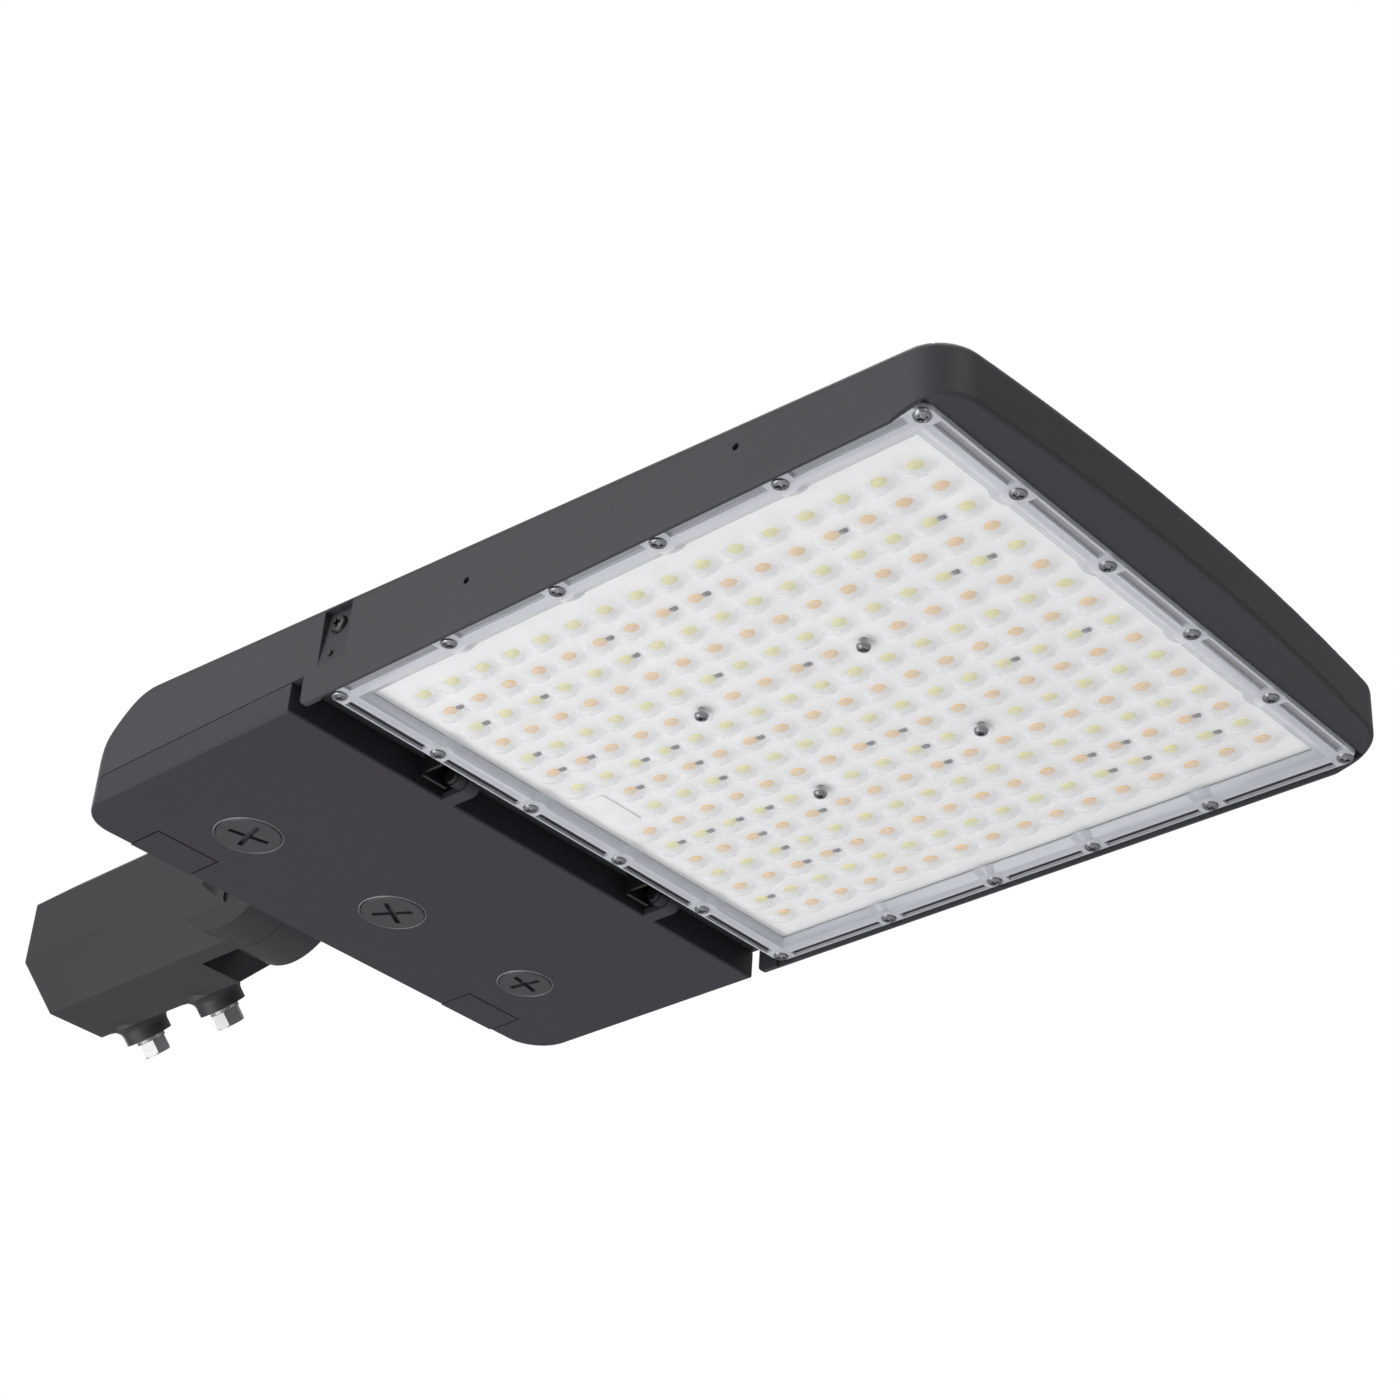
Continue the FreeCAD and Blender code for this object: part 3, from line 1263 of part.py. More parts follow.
def make_leads():
    """The leads inside: driver to LED board, and wire entry to terminal block."""
    bend = 6
    led_lead = pipe("led_lead", 0, 2.4, [
        (driver_x() + d.driver_width, lead_z()),
        (lead_x() - bend, lead_z(), bend, False),
        (lead_x(), lead_z() - bend), (lead_x(), board_face - d.board_thick / 2)])
    y = d.wire_place + 2
    block_x, _, _, _ = block_place()
    in_z = bay_height() - 10
    supply_lead = pipe("supply_lead", y, 2.4, [
        (pad_face - d.arm_gasket - d.flange_thick, wire_z()), (pad_face + 24, wire_z()),
        (pad_face + 34, in_z), (block_x + 8, in_z)])
    return [led_lead, supply_lead]


def make_side_fittings():
    """Screws and locating pins in the recesses of the side walls."""
    screws = new_body("side_screws")
    pins = new_body("side_pins")
    x = lamp_rear + d.side_screw_place
    high = lens_face + d.side_screw_rise
    low = lens_face + d.side_pin_rise
    seat_y = half_width - 2.6
    for side in SIDES:
        pad(screws, "XZ", *sorted_levels(side * seat_y, side * (seat_y + 2.2)), disc,
            x, high, 4.2)
        pad(screws, "XZ", *sorted_levels(side * (seat_y - 5), side * seat_y), disc, x, high, 2.15)
        pad(pins, "XZ", *sorted_levels(side * (half_width - 4), side * (half_width + 0.6)), disc,
            x - 1, low, 1.45)
    return [screws, pins]


# ------------------------------------------------------------------ build and write
def make_everything():
    """Every piece, in the order of the report's list."""
    pieces = []
    pieces += make_slip_fitter()
    pieces += make_set_bolts()
    pieces += make_pivot()
    end_wall = (d.socket_depth, d.sleeve_length)
    pieces.append(make_bush("wire_grommet", end_wall, (d.sleeve_length, d.sleeve_length + 1.2),
                            d.wire_place, 0))
    pieces += make_arm()
    pieces.append(make_arm_bolts())
    inside = pad_face + d.pad_depth
    pieces.append(make_bush("entry_bush", (pad_face, inside), (inside, inside + 1.2),
                            d.wire_place + 2, wire_z()))
    pieces += make_housing()
    pieces.append(make_lens())
    pieces.append(make_lens_gasket())
    pieces.append(make_screws("rim_screws", rim_screw_places(), lens_face + 1,
                              d.rim_screw_head, 2.2, d.rim_screw - 2 * d.slack, 9))
    pieces.append(make_screws("board_screws", board_screw_places(),
                              lens_face + d.panel_rise, 6, 2, 3, 8))
    pieces.append(make_board())
    pieces.append(make_chips("led_chips_cool", 1))
    pieces.append(make_chips("led_chips_warm", 0))
    pieces.append(make_door())
    pieces.append(make_door_gasket())
    for port in ports():
        pieces += make_plug(*port)
    pieces += make_latch("near", -1)
    pieces += make_latch("far", 1)
    pieces += make_hinges()
    pieces += make_driver()
    pieces += make_switches()
    pieces += make_supply_parts()
    pieces += make_leads()
    pieces += make_side_fittings()
    return pieces


def check(pieces):
    """Stop if any object failed or any piece has no valid solid."""
    for thing in doc.Objects:
        if "Invalid" in thing.State or "Error" in thing.State:
            raise RuntimeError(f"{thing.Label} failed: {thing.State}")
    for piece in pieces:
        shape = piece.Shape
        if shape.isNull() or not shape.isValid() or not shape.Solids:
            raise RuntimeError(f"{piece.Label} has no valid solid")


def write(pieces):
    """Write each piece to parts/LABEL.step."""
    os.makedirs("parts", exist_ok=True)
    for piece in pieces:
        piece.Shape.exportStep(os.path.join("parts", f"{piece.Label}.step"))
        print(f"{piece.Label}: {len(piece.Shape.Solids)} solids, {piece.Shape.Volume:.0f} mm3")


pieces = make_everything()
doc.recompute()
check(pieces)
write(pieces)
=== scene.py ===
"""Looks of a shoebox area light.

A cast housing on a slip fitter for a pole, with a clear lens cover over a grid of LEDs.
"""
import json
import logging
import math
from dataclasses import dataclass, field
from enum import Enum
from typing import Callable, Iterable, Optional, Union

import bpy
from mathutils import Matrix, Vector


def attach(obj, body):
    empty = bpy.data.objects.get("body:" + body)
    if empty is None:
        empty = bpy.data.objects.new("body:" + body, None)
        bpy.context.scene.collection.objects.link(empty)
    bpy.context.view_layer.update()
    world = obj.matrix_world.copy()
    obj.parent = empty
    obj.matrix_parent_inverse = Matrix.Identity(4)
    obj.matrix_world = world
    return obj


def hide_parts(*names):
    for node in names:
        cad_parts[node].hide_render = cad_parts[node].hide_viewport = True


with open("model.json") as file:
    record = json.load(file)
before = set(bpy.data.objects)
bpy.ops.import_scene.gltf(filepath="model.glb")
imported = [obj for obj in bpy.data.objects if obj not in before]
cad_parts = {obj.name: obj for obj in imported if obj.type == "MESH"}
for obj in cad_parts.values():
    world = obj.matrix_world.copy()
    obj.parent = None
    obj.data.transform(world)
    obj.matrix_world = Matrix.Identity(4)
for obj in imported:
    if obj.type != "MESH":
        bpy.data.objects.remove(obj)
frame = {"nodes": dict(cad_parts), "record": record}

MM = 0.001
TURN = 2.0 * math.pi
LOG = logging.getLogger("area_light")

Colour = tuple[float, float, float]
Point = tuple[float, float, float]


class Body(Enum):
    """The moving bodies that new pieces ride on."""

    LUMINAIRE = "luminaire"
    DOOR = "door"
    CLAMP_OUTER = "clamp_outer"
    CLAMP_INNER = "clamp_inner"


class Slot(Enum):
    """The record's material slots."""

    CASTING = "casting_paint"
    STEEL = "bright_steel"
    LENS = "clear_lens"
    SILICONE = "white_silicone"
    RUBBER = "black_rubber"
    BOARD = "board_white"
    COOL = "led_cool"
    WARM = "led_warm"
    BLACK_PLASTIC = "black_plastic"
    WHITE_PLASTIC = "white_plastic"
    DRIVER = "driver_can"


# ------------------------------------------------------------------ node materials
class Wire:
    """One value in a material's graph, combined with others by operators."""

    def __init__(self, graph: "Graph", socket: bpy.types.NodeSocket) -> None:
        """Keeps the graph and the output socket."""
        self.graph = graph
        self.socket = socket

    def _math(self, operation: str, other: Union["Wire", float]) -> "Wire":
        """Adds one Math node fed by this value and another."""
        return self.graph.make("Math", {0: self, 1: other}, operation=operation)

    def __add__(self, other: Union["Wire", float]) -> "Wire":
        """Sum."""
        return self._math("ADD", other)

    def __mul__(self, other: Union["Wire", float]) -> "Wire":
        """Product."""
        return self._math("MULTIPLY", other)

    def __pow__(self, other: Union["Wire", float]) -> "Wire":
        """Power."""
        return self._math("POWER", other)

    def spread(self, low: float, high: float) -> "Wire":
        """Maps nought to one onto low to high."""
        return self * (high - low) + low


class Graph:
    """The node graph of one material."""

    def __init__(self, name: str) -> None:
        """Makes a material with an empty graph."""
        self.material = bpy.data.materials.new(name)
        self.material.use_nodes = True
        self.tree = self.material.node_tree
        self.tree.nodes.clear()

    def make(self, kind: str, inputs: Optional[dict] = None, output: Union[int, str] = 0,
             **settings: object) -> Wire:
        """Adds a node.

        Args:
            kind: The node's type without the ShaderNode prefix.
            inputs: Sockets by name or number, each with a Wire or a plain value.
            output: The output socket that the result stands for.
            settings: Properties of the node itself.

        Returns:
            The chosen output.
        """
        node = self.tree.nodes.new("ShaderNode" + kind)
        for key, value in settings.items():
            setattr(node, key, value)
        for key, value in (inputs or {}).items():
            if isinstance(value, Wire):
                self.tree.links.new(value.socket, node.inputs[key])
            else:
                node.inputs[key].default_value = value
        return Wire(self, node.outputs[output])

    def place(self) -> Wire:
        """The point on the object, in metres."""
        return self.make("TexCoord", output="Object")

    def noise(self, size_mm: float, detail: float = 2.0, stretch: Optional[Point] = None) -> Wire:
        """Noise from nought to one.

        Args:
            size_mm: Size of one cell.
            detail: Octaves of finer noise.
            stretch: Scale along each axis, for streaks.

        Returns:
            The noise value.
        """
        spot = self.place()
        if stretch:
            spot = self.make("Mapping", {"Vector": spot, "Scale": stretch})
        return self.make("TexNoise", {"Vector": spot, "Scale": 1.0 / (size_mm * MM),
                                      "Detail": detail, "Roughness": 0.55})

    def tint(self, share: Wire, first: Colour, second: Colour) -> Wire:
        """Blends two colours by a share."""
        return self.make("Mix", {0: share, 6: (*first, 1.0), 7: (*second, 1.0)}, output=2,
                         data_type="RGBA", clamp_factor=True)

    def bump(self, height: Wire, depth_mm: float, strength: float) -> Wire:
        """A bumped normal."""
        return self.make("Bump", {"Height": height, "Distance": depth_mm * MM,
                                  "Strength": strength})

    def surface(self, inputs: dict) -> bpy.types.Material:
        """Ends the graph with a Principled surface."""
        shader = self.make("BsdfPrincipled", inputs)
        self.end(shader)
        return self.material

    def end(self, shader: Wire) -> None:
        """Joins a shader to the material's output."""
        node = self.tree.nodes.new("ShaderNodeOutputMaterial")
        self.tree.links.new(shader.socket, node.inputs["Surface"])


def shade(colour: Colour, factor: float) -> Colour:
    """A colour made lighter or darker."""
    return tuple(min(1.0, part * factor) for part in colour)


@dataclass(frozen=True)
class PowderCoat:
    """Satin powder coat: fine orange peel, faint clouds and dust specks."""

    name: str
    colour: Colour = (0.040, 0.039, 0.046)
    roughness: float = 0.48

    def build(self) -> bpy.types.Material:
        """Makes the material."""
        graph = Graph(self.name)
        clouds = graph.noise(60.0, 3.0)
        grain = graph.noise(0.55, 1.0)
        peel = graph.noise(1.6, 2.0)
        share = clouds * 0.6 + grain * 0.4
        return graph.surface({
            "Base Color": graph.tint(share, shade(self.colour, 0.86), shade(self.colour, 1.14)),
            "Roughness": peel.spread(self.roughness - 0.06, self.roughness + 0.08),
            "Normal": graph.bump(peel * 0.7 + grain * 0.3, 0.03, 0.5),
            "Specular IOR Level": 0.35,
        })


@dataclass(frozen=True)
class Metal:
    """Bare or plated metal with fine turning streaks."""

    name: str
    colour: Colour = (0.72, 0.72, 0.73)
    roughness: float = 0.24
    streak: Point = (1.0, 1.0, 1.0)

    def build(self) -> bpy.types.Material:
        """Makes the material."""
        graph = Graph(self.name)
        streaks = graph.noise(0.5, 3.0, self.streak)
        stains = graph.noise(5.0, 2.0)
        return graph.surface({
            "Base Color": graph.tint(stains, shade(self.colour, 0.8), shade(self.colour, 1.1)),
            "Metallic": 1.0,
            "Roughness": streaks.spread(self.roughness - 0.08, self.roughness + 0.12),
            "Normal": graph.bump(streaks, 0.01, 0.35),
        })


@dataclass(frozen=True)
class Moulded:
    """Moulded plastic, rubber or silicone: an even body with a fine matt grain."""

    name: str
    colour: Colour
    roughness: float
    grain_mm: float = 0.4
    depth_mm: float = 0.02

    def build(self) -> bpy.types.Material:
        """Makes the material."""
        graph = Graph(self.name)
        grain = graph.noise(self.grain_mm, 2.0)
        clouds = graph.noise(14.0, 2.0)
        return graph.surface({
            "Base Color": graph.tint(clouds, shade(self.colour, 0.88), shade(self.colour, 1.1)),
            "Roughness": grain.spread(self.roughness - 0.05, self.roughness + 0.1),
            "Normal": graph.bump(grain, self.depth_mm, 0.5),
        })


@dataclass(frozen=True)
class Phosphor:
    """An LED's phosphor as its lenslet shows it: core and halo colours mixed by a soft mottle."""

    name: str
    core: Colour
    halo: Colour

    def build(self) -> bpy.types.Material:
        """Makes the material."""
        graph = Graph(self.name)
        mottle = graph.noise(6.0, 2.0)
        return graph.surface({
            "Base Color": graph.tint(mottle, self.core, self.halo),
            "Roughness": mottle.spread(0.3, 0.5),
            "Normal": graph.bump(mottle, 0.05, 0.3),
        })


@dataclass(frozen=True)
class ClearCover:
    """Clear moulded plastic that grows opaque where it is seen at a slant, so its coat reflects
    there and its pale base colour shows as a painted sheen.
    """

    name: str
    colour: Colour = (0.91, 0.915, 0.94)
    face_on: float = 0.05
    slanting: float = 0.45
    roughness: float = 0.12

    def build(self) -> bpy.types.Material:
        """Makes the material."""
        graph = Graph(self.name)
        slant = graph.make("LayerWeight", {"Blend": 0.35}, output="Facing")
        flow = graph.noise(22.0, 2.0, (1.0, 0.5, 1.0))
        return graph.surface({
            "Base Color": graph.tint(flow, shade(self.colour, 0.94), shade(self.colour, 1.05)),
            "Roughness": flow.spread(self.roughness - 0.04, self.roughness + 0.06),
            # Partly real, partly painted: opacity at a slant lets the coat reflect and shows the
            # pale base colour as painted sheen.
            "Alpha": (slant ** 1.5).spread(self.face_on, self.slanting),
            "Coat Weight": 0.6,
            "Coat Roughness": 0.05,
            "IOR": 1.49,
            "Normal": graph.bump(flow, 0.1, 0.25),
        })


# ------------------------------------------------------------------ modelling
class Workpiece:
    """One mesh shaped with Blender's own operators, its sizes in millimetres."""

    def __init__(self, thing: bpy.types.Object) -> None:
        """Takes an object as the piece."""
        self.thing = thing

    # -- starts
    @staticmethod
    def clear_selection() -> None:
        """Leaves edit mode and selects nothing."""
        if bpy.context.object and bpy.context.object.mode != "OBJECT":
            bpy.ops.object.mode_set(mode="OBJECT")
        bpy.ops.object.select_all(action="DESELECT")

    @classmethod
    def _started(cls, name: str) -> "Workpiece":
        """Names the primitive just added and fixes its place in its mesh."""
        thing = bpy.context.object
        thing.name = name
        thing.data.name = name
        bpy.ops.object.transform_apply(location=True, rotation=True, scale=True)
        return cls(thing)

    @classmethod
    def block(cls, name: str, low: Point, high: Point) -> "Workpiece":
        """A box between two corners."""
        cls.clear_selection()
        middle = [(a + b) / 2 * MM for a, b in zip(low, high)]
        extent = [(b - a) * MM for a, b in zip(low, high)]
        bpy.ops.mesh.primitive_cube_add(size=1, location=middle, scale=extent)
        return cls._started(name)

    @classmethod
    def rod(cls, name: str, foot: Point, radius: float, height: float, sides: int = 32,
            top_radius: Optional[float] = None) -> "Workpiece":
        """A prism or frustum standing along Z on its foot."""
        cls.clear_selection()
        place = [foot[0] * MM, foot[1] * MM, (foot[2] + height / 2) * MM]
        top = radius if top_radius is None else top_radius
        bpy.ops.mesh.primitive_cone_add(vertices=sides, radius1=radius * MM, radius2=top * MM,
                                        depth=height * MM, location=place)
        return cls._started(name)

    @classmethod
    def turned(cls, name: str, profile: list[tuple[float, float]], steps: int = 24) -> "Workpiece":
        """A shape turned round Z.

        Args:
            name: Name of the piece.
            profile: Radius and height of each corner of its outline.
            steps: Facets round the axis.

        Returns:
            The turned piece, standing at the origin.
        """
        cls.clear_selection()
        bpy.ops.mesh.primitive_plane_add(size=MM)
        piece = cls._started(name)
        bpy.context.tool_settings.mesh_select_mode = (True, False, False)
        bpy.ops.object.mode_set(mode="EDIT")
        bpy.ops.mesh.select_all(action="SELECT")
        bpy.ops.mesh.merge(type="CENTER")
        start = profile[0]
        bpy.ops.transform.translate(value=(start[0] * MM, 0, start[1] * MM))
        for before, after in zip(profile, profile[1:]):
            step = ((after[0] - before[0]) * MM, 0, (after[1] - before[1]) * MM)
            bpy.ops.mesh.extrude_region_move(TRANSFORM_OT_translate={"value": step})
        bpy.ops.mesh.select_all(action="SELECT")
        bpy.ops.mesh.spin(steps=steps, angle=TURN, center=(0, 0, 0), axis=(0, 0, 1))
        bpy.ops.mesh.select_all(action="SELECT")
        bpy.ops.mesh.remove_doubles(threshold=1e-6)
        bpy.ops.mesh.normals_make_consistent(inside=False)
        bpy.ops.object.mode_set(mode="OBJECT")
        return piece

    # -- choosing
    def _activate(self) -> None:
        """Makes this the only selected and active object."""
        self.clear_selection()
        self.thing.select_set(True)
        bpy.context.view_layer.objects.active = self.thing

    def _edit(self, kind: str) -> None:
        """Opens edit mode with only the marked parts selected."""
        modes = {"VERT": (True, False, False), "EDGE": (False, True, False),
                 "FACE": (False, False, True)}
        bpy.context.tool_settings.mesh_select_mode = modes[kind]
        bpy.ops.object.mode_set(mode="EDIT")

    def _unmark(self) -> None:
        """Marks nothing in the mesh."""
        mesh = self.thing.data
        for group in (mesh.vertices, mesh.edges, mesh.polygons):
            group.foreach_set("select", [False] * len(group))

    def pick_faces(self, chosen: Callable[[Vector, Vector], bool]) -> "Workpiece":
        """Opens edit mode on the faces whose centre (in mm) and normal fit."""
        self._activate()
        self._unmark()
        for face in self.thing.data.polygons:
            face.select = chosen(face.center / MM, face.normal)
        self._edit("FACE")
        return self

    def pick_edges(self, chosen: Callable[[Vector, Vector], bool]) -> "Workpiece":
        """Opens edit mode on the edges whose ends (in mm) fit."""
        self._activate()
        self._unmark()
        mesh = self.thing.data
        for edge in mesh.edges:
            first, second = (mesh.vertices[i].co / MM for i in edge.vertices)
            edge.select = chosen(first, second)
        self._edit("EDGE")
        return self

    def pick_points(self, chosen: Callable[[Vector], bool]) -> "Workpiece":
        """Opens edit mode on the vertices whose place (in mm) fits."""
        self._activate()
        self._unmark()
        for vertex in self.thing.data.vertices:
            vertex.select = chosen(vertex.co / MM)
        self._edit("VERT")
        return self

    # -- shaping what is picked
    def inset(self, width: float, depth: float = 0.0, each: bool = False) -> "Workpiece":
        """Insets the picked faces."""
        bpy.ops.mesh.inset(thickness=width * MM, depth=depth * MM, use_individual=each)
        return self

    def bevel(self, width: float, segments: int = 1) -> "Workpiece":
        """Bevels the picked edges."""
        bpy.ops.mesh.bevel(offset=width * MM, segments=segments, affect="EDGES")
        return self

    def shift(self, step: Point) -> "Workpiece":
        """Moves what is picked."""
        bpy.ops.transform.translate(value=[part * MM for part in step])
        return self

    def scale(self, factors: Point) -> "Workpiece":
        """Scales what is picked about the origin."""
        bpy.ops.transform.resize(value=factors, center_override=(0, 0, 0))
        return self

    def done(self) -> "Workpiece":
        """Leaves edit mode."""
        bpy.ops.object.mode_set(mode="OBJECT")
        return self

    # -- whole pieces
    def carve(self, tool: "Workpiece", operation: str = "DIFFERENCE") -> "Workpiece":
        """Combines with another piece, which is used up."""
        self._activate()
        modifier = self.thing.modifiers.new("carve", "BOOLEAN")
        modifier.operation = operation
        modifier.solver = "EXACT"
        modifier.object = tool.thing
        bpy.ops.object.modifier_apply(modifier=modifier.name)
        bpy.data.objects.remove(tool.thing, do_unlink=True)
        return self

    def soften(self, width: float, segments: int = 2, angle: float = 30.0) -> "Workpiece":
        """Rounds every edge that is sharper than an angle."""
        self._activate()
        modifier = self.thing.modifiers.new("soften", "BEVEL")
        modifier.width = width * MM
        modifier.segments = segments
        modifier.limit_method = "ANGLE"
        modifier.angle_limit = math.radians(angle)
        bpy.ops.object.modifier_apply(modifier=modifier.name)
        return self

    def smooth(self, angle: float = 35.0) -> "Workpiece":
        """Smooth shading, broken at sharp edges."""
        self._activate()
        bpy.ops.object.shade_smooth_by_angle(angle=math.radians(angle))
        return self

    def stand(self, place: Point, turn: Point = (0, 0, 0)) -> "Workpiece":
        """Turns the piece about the origin, in degrees, and moves it to its place."""
        self._activate()
        self.thing.rotation_euler = [math.radians(part) for part in turn]
        self.thing.location = [part * MM for part in place]
        bpy.ops.object.transform_apply(location=True, rotation=True, scale=True)
        return self

    def copies(self, places: Iterable[Point], turns: Optional[list[Point]] = None) -> "Workpiece":
        """Copies the piece to each place, each with its own mesh, and joins them all.

        Args:
            places: Where each copy stands, in millimetres from the piece's own place.
            turns: Rotation of each copy about its own origin, in degrees.

        Returns:
            The joined piece, without the original.
        """
        made = []
        for number, place in enumerate(places):
            twin = self.thing.copy()
            twin.data = self.thing.data.copy()
            bpy.context.collection.objects.link(twin)
            twin.location = [part * MM for part in place]
            if turns:
                twin.rotation_euler = [math.radians(part) for part in turns[number]]
            made.append(twin)
        self.clear_selection()
        for twin in made:
            twin.select_set(True)
        bpy.context.view_layer.objects.active = made[0]
        name = self.thing.name
        bpy.data.objects.remove(self.thing, do_unlink=True)
        bpy.ops.object.join()
        joined = bpy.context.object
        joined.name = name
        joined.data.name = name
        bpy.ops.object.transform_apply(location=True, rotation=True, scale=True)
        return Workpiece(joined)

    def join(self, *others: "Workpiece") -> "Workpiece":
        """Joins other pieces into this one without merging their solids."""
        self.clear_selection()
        for piece in (*others, self):
            piece.thing.select_set(True)
        bpy.context.view_layer.objects.active = self.thing
        bpy.ops.object.join()
        return self

    def dress(self, material: bpy.types.Material) -> "Workpiece":
        """Gives the whole piece one material."""
        self.thing.data.materials.clear()
        self.thing.data.materials.append(material)
        return self

    def dress_faces(self, material: bpy.types.Material,
                    chosen: Callable[[Vector, Vector], bool]) -> "Workpiece":
        """Gives the fitting faces another material."""
        self.thing.data.materials.append(material)
        number = len(self.thing.data.materials) - 1
        for face in self.thing.data.polygons:
            if chosen(face.center / MM, face.normal):
                face.material_index = number
        return self

    def mount(self, body: Body, slot: Slot, *replaced: str) -> "Workpiece":
        """Tells the frame what the piece rides on and hides the nodes it stands for."""
        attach(self.thing, body.value)
        if replaced:
            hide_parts(*replaced)
        LOG.info("%s: %d faces on %s", self.thing.name, len(self.thing.data.polygons), body.value)
        return self


# ------------------------------------------------------------------ finishes
@dataclass
class Finishes:
    """Every material of the lamp, made once."""

    made: dict[str, bpy.types.Material] = field(default_factory=dict)

    def get(self, finish: object) -> bpy.types.Material:
        """The material of a finish, made when first asked for."""
        if finish.name not in self.made:
            self.made[finish.name] = finish.build()
        return self.made[finish.name]


COAT = PowderCoat("charcoal_powder_coat")
DOOR_COAT = PowderCoat("door_powder_coat", (0.030, 0.028, 0.037), 0.46)
SLEEVE_COAT = PowderCoat("sleeve_powder_coat", (0.029, 0.028, 0.032), 0.46)
BLACKENED = Metal("blackened_steel", (0.07, 0.07, 0.075), 0.42)
PLUG_PLASTIC = Moulded("plug_plastic", (0.040, 0.039, 0.046), 0.32)
# Painted highlight: the port rims are a lighter grey than the door's coat, glossy as well.
PORT_RIM_PAINTED_HIGHLIGHT = Moulded("port_rim_painted_highlight", (0.17, 0.17, 0.18), 0.2)
# Painted glint: a lighter grey for the trough floors on the near sides, where light falls.
POCKET_PAINTED_GLINT = Moulded("pocket_painted_glint", (0.30, 0.31, 0.33), 0.25)
STAINLESS = Metal("stainless_steel", (0.38, 0.38, 0.39), 0.38)
SCREW_STEEL = Metal("screw_steel", (0.36, 0.36, 0.38), 0.24)
CAN_METAL = Metal("driver_can_metal", (0.55, 0.55, 0.56), 0.45, (1.0, 12.0, 12.0))
BLACK_RUBBER = Moulded("black_rubber_body", (0.016, 0.016, 0.018), 0.62)
BLACK_PLASTIC = Moulded("black_plastic_body", (0.022, 0.022, 0.026), 0.38)
WHITE_PLASTIC = Moulded("white_plastic_body", (0.72, 0.72, 0.69), 0.35)
SILICONE = Moulded("white_silicone_body", (0.70, 0.71, 0.72), 0.5)
SOLDER_MASK = Moulded("white_solder_mask", (0.91, 0.905, 0.915), 0.4, 0.8, 0.01)
COMPONENT = Moulded("component_body", (0.12, 0.12, 0.14), 0.4)
# Painted shade: near black for the trough floors on the rear and far sides.
POCKET_PAINTED_SHADE = Moulded("pocket_painted_shadow", (0.012, 0.013, 0.016), 0.5)
COOL_PHOSPHOR = Phosphor("cool_phosphor", (0.86, 0.80, 0.10), (0.90, 0.86, 0.26))
WARM_PHOSPHOR = Phosphor("warm_phosphor", (0.96, 0.50, 0.05), (0.97, 0.60, 0.14))
# Painted shade: the cover's sloping faces get a darker copy of its clear material.
SLOPE_PAINTED_SHADE = ClearCover("cover_slope_painted_shade", (0.50, 0.53, 0.59), 0.6, 0.95, 0.12)
PANEL = ClearCover("cover_panel")
# The lenslets' white base, opaque at a slant, paints their bright crescents of reflected light.
LENSLET = ClearCover("cover_lenslet", (0.95, 0.95, 0.97), 0.07, 0.85)
RIM = ClearCover("cover_rim", (0.78, 0.81, 0.88), 0.5, 0.97, 0.1)

SLOT_FINISH = {
    Slot.CASTING.value: COAT,
    Slot.STEEL.value: STAINLESS,
    Slot.LENS.value: PANEL,
    Slot.SILICONE.value: SILICONE,
    Slot.RUBBER.value: BLACK_RUBBER,
    Slot.BOARD.value: SOLDER_MASK,
    Slot.COOL.value: COOL_PHOSPHOR,
    Slot.WARM.value: WARM_PHOSPHOR,
    Slot.BLACK_PLASTIC.value: BLACK_PLASTIC,
    Slot.WHITE_PLASTIC.value: WHITE_PLASTIC,
    Slot.DRIVER.value: CAN_METAL,
}
NODE_FINISH = {"door": DOOR_COAT, "latch_near": DOOR_COAT, "latch_far": DOOR_COAT,
               "slip_fitter": SLEEVE_COAT, "mounting_arm": SLEEVE_COAT,
               "side_pins": BLACKENED, "hinge_pins": BLACKENED, "hinge_brackets": BLACKENED,
               "power_plug": PLUG_PLASTIC, "colour_plug": PLUG_PLASTIC,
               "sensor_plug": PLUG_PLASTIC}


@dataclass
class CarriedNodes:
    """The castings and fittings that keep their own meshes."""

    finishes: Finishes

    def dress(self) -> None:
        """Gives every carried node its finish."""
        slots = {part["node"]: part["material_slot"] for part in frame["record"]["subparts"]}
        for name, thing in frame["nodes"].items():
            finish = NODE_FINISH.get(name, SLOT_FINISH.get(slots.get(name), COAT))
            material = self.finishes.get(finish)
            for holder in thing.material_slots:
                holder.material = material
            if not thing.material_slots:
                thing.data.materials.append(material)
        LOG.info("dressed %d carried nodes", len(frame["nodes"]))


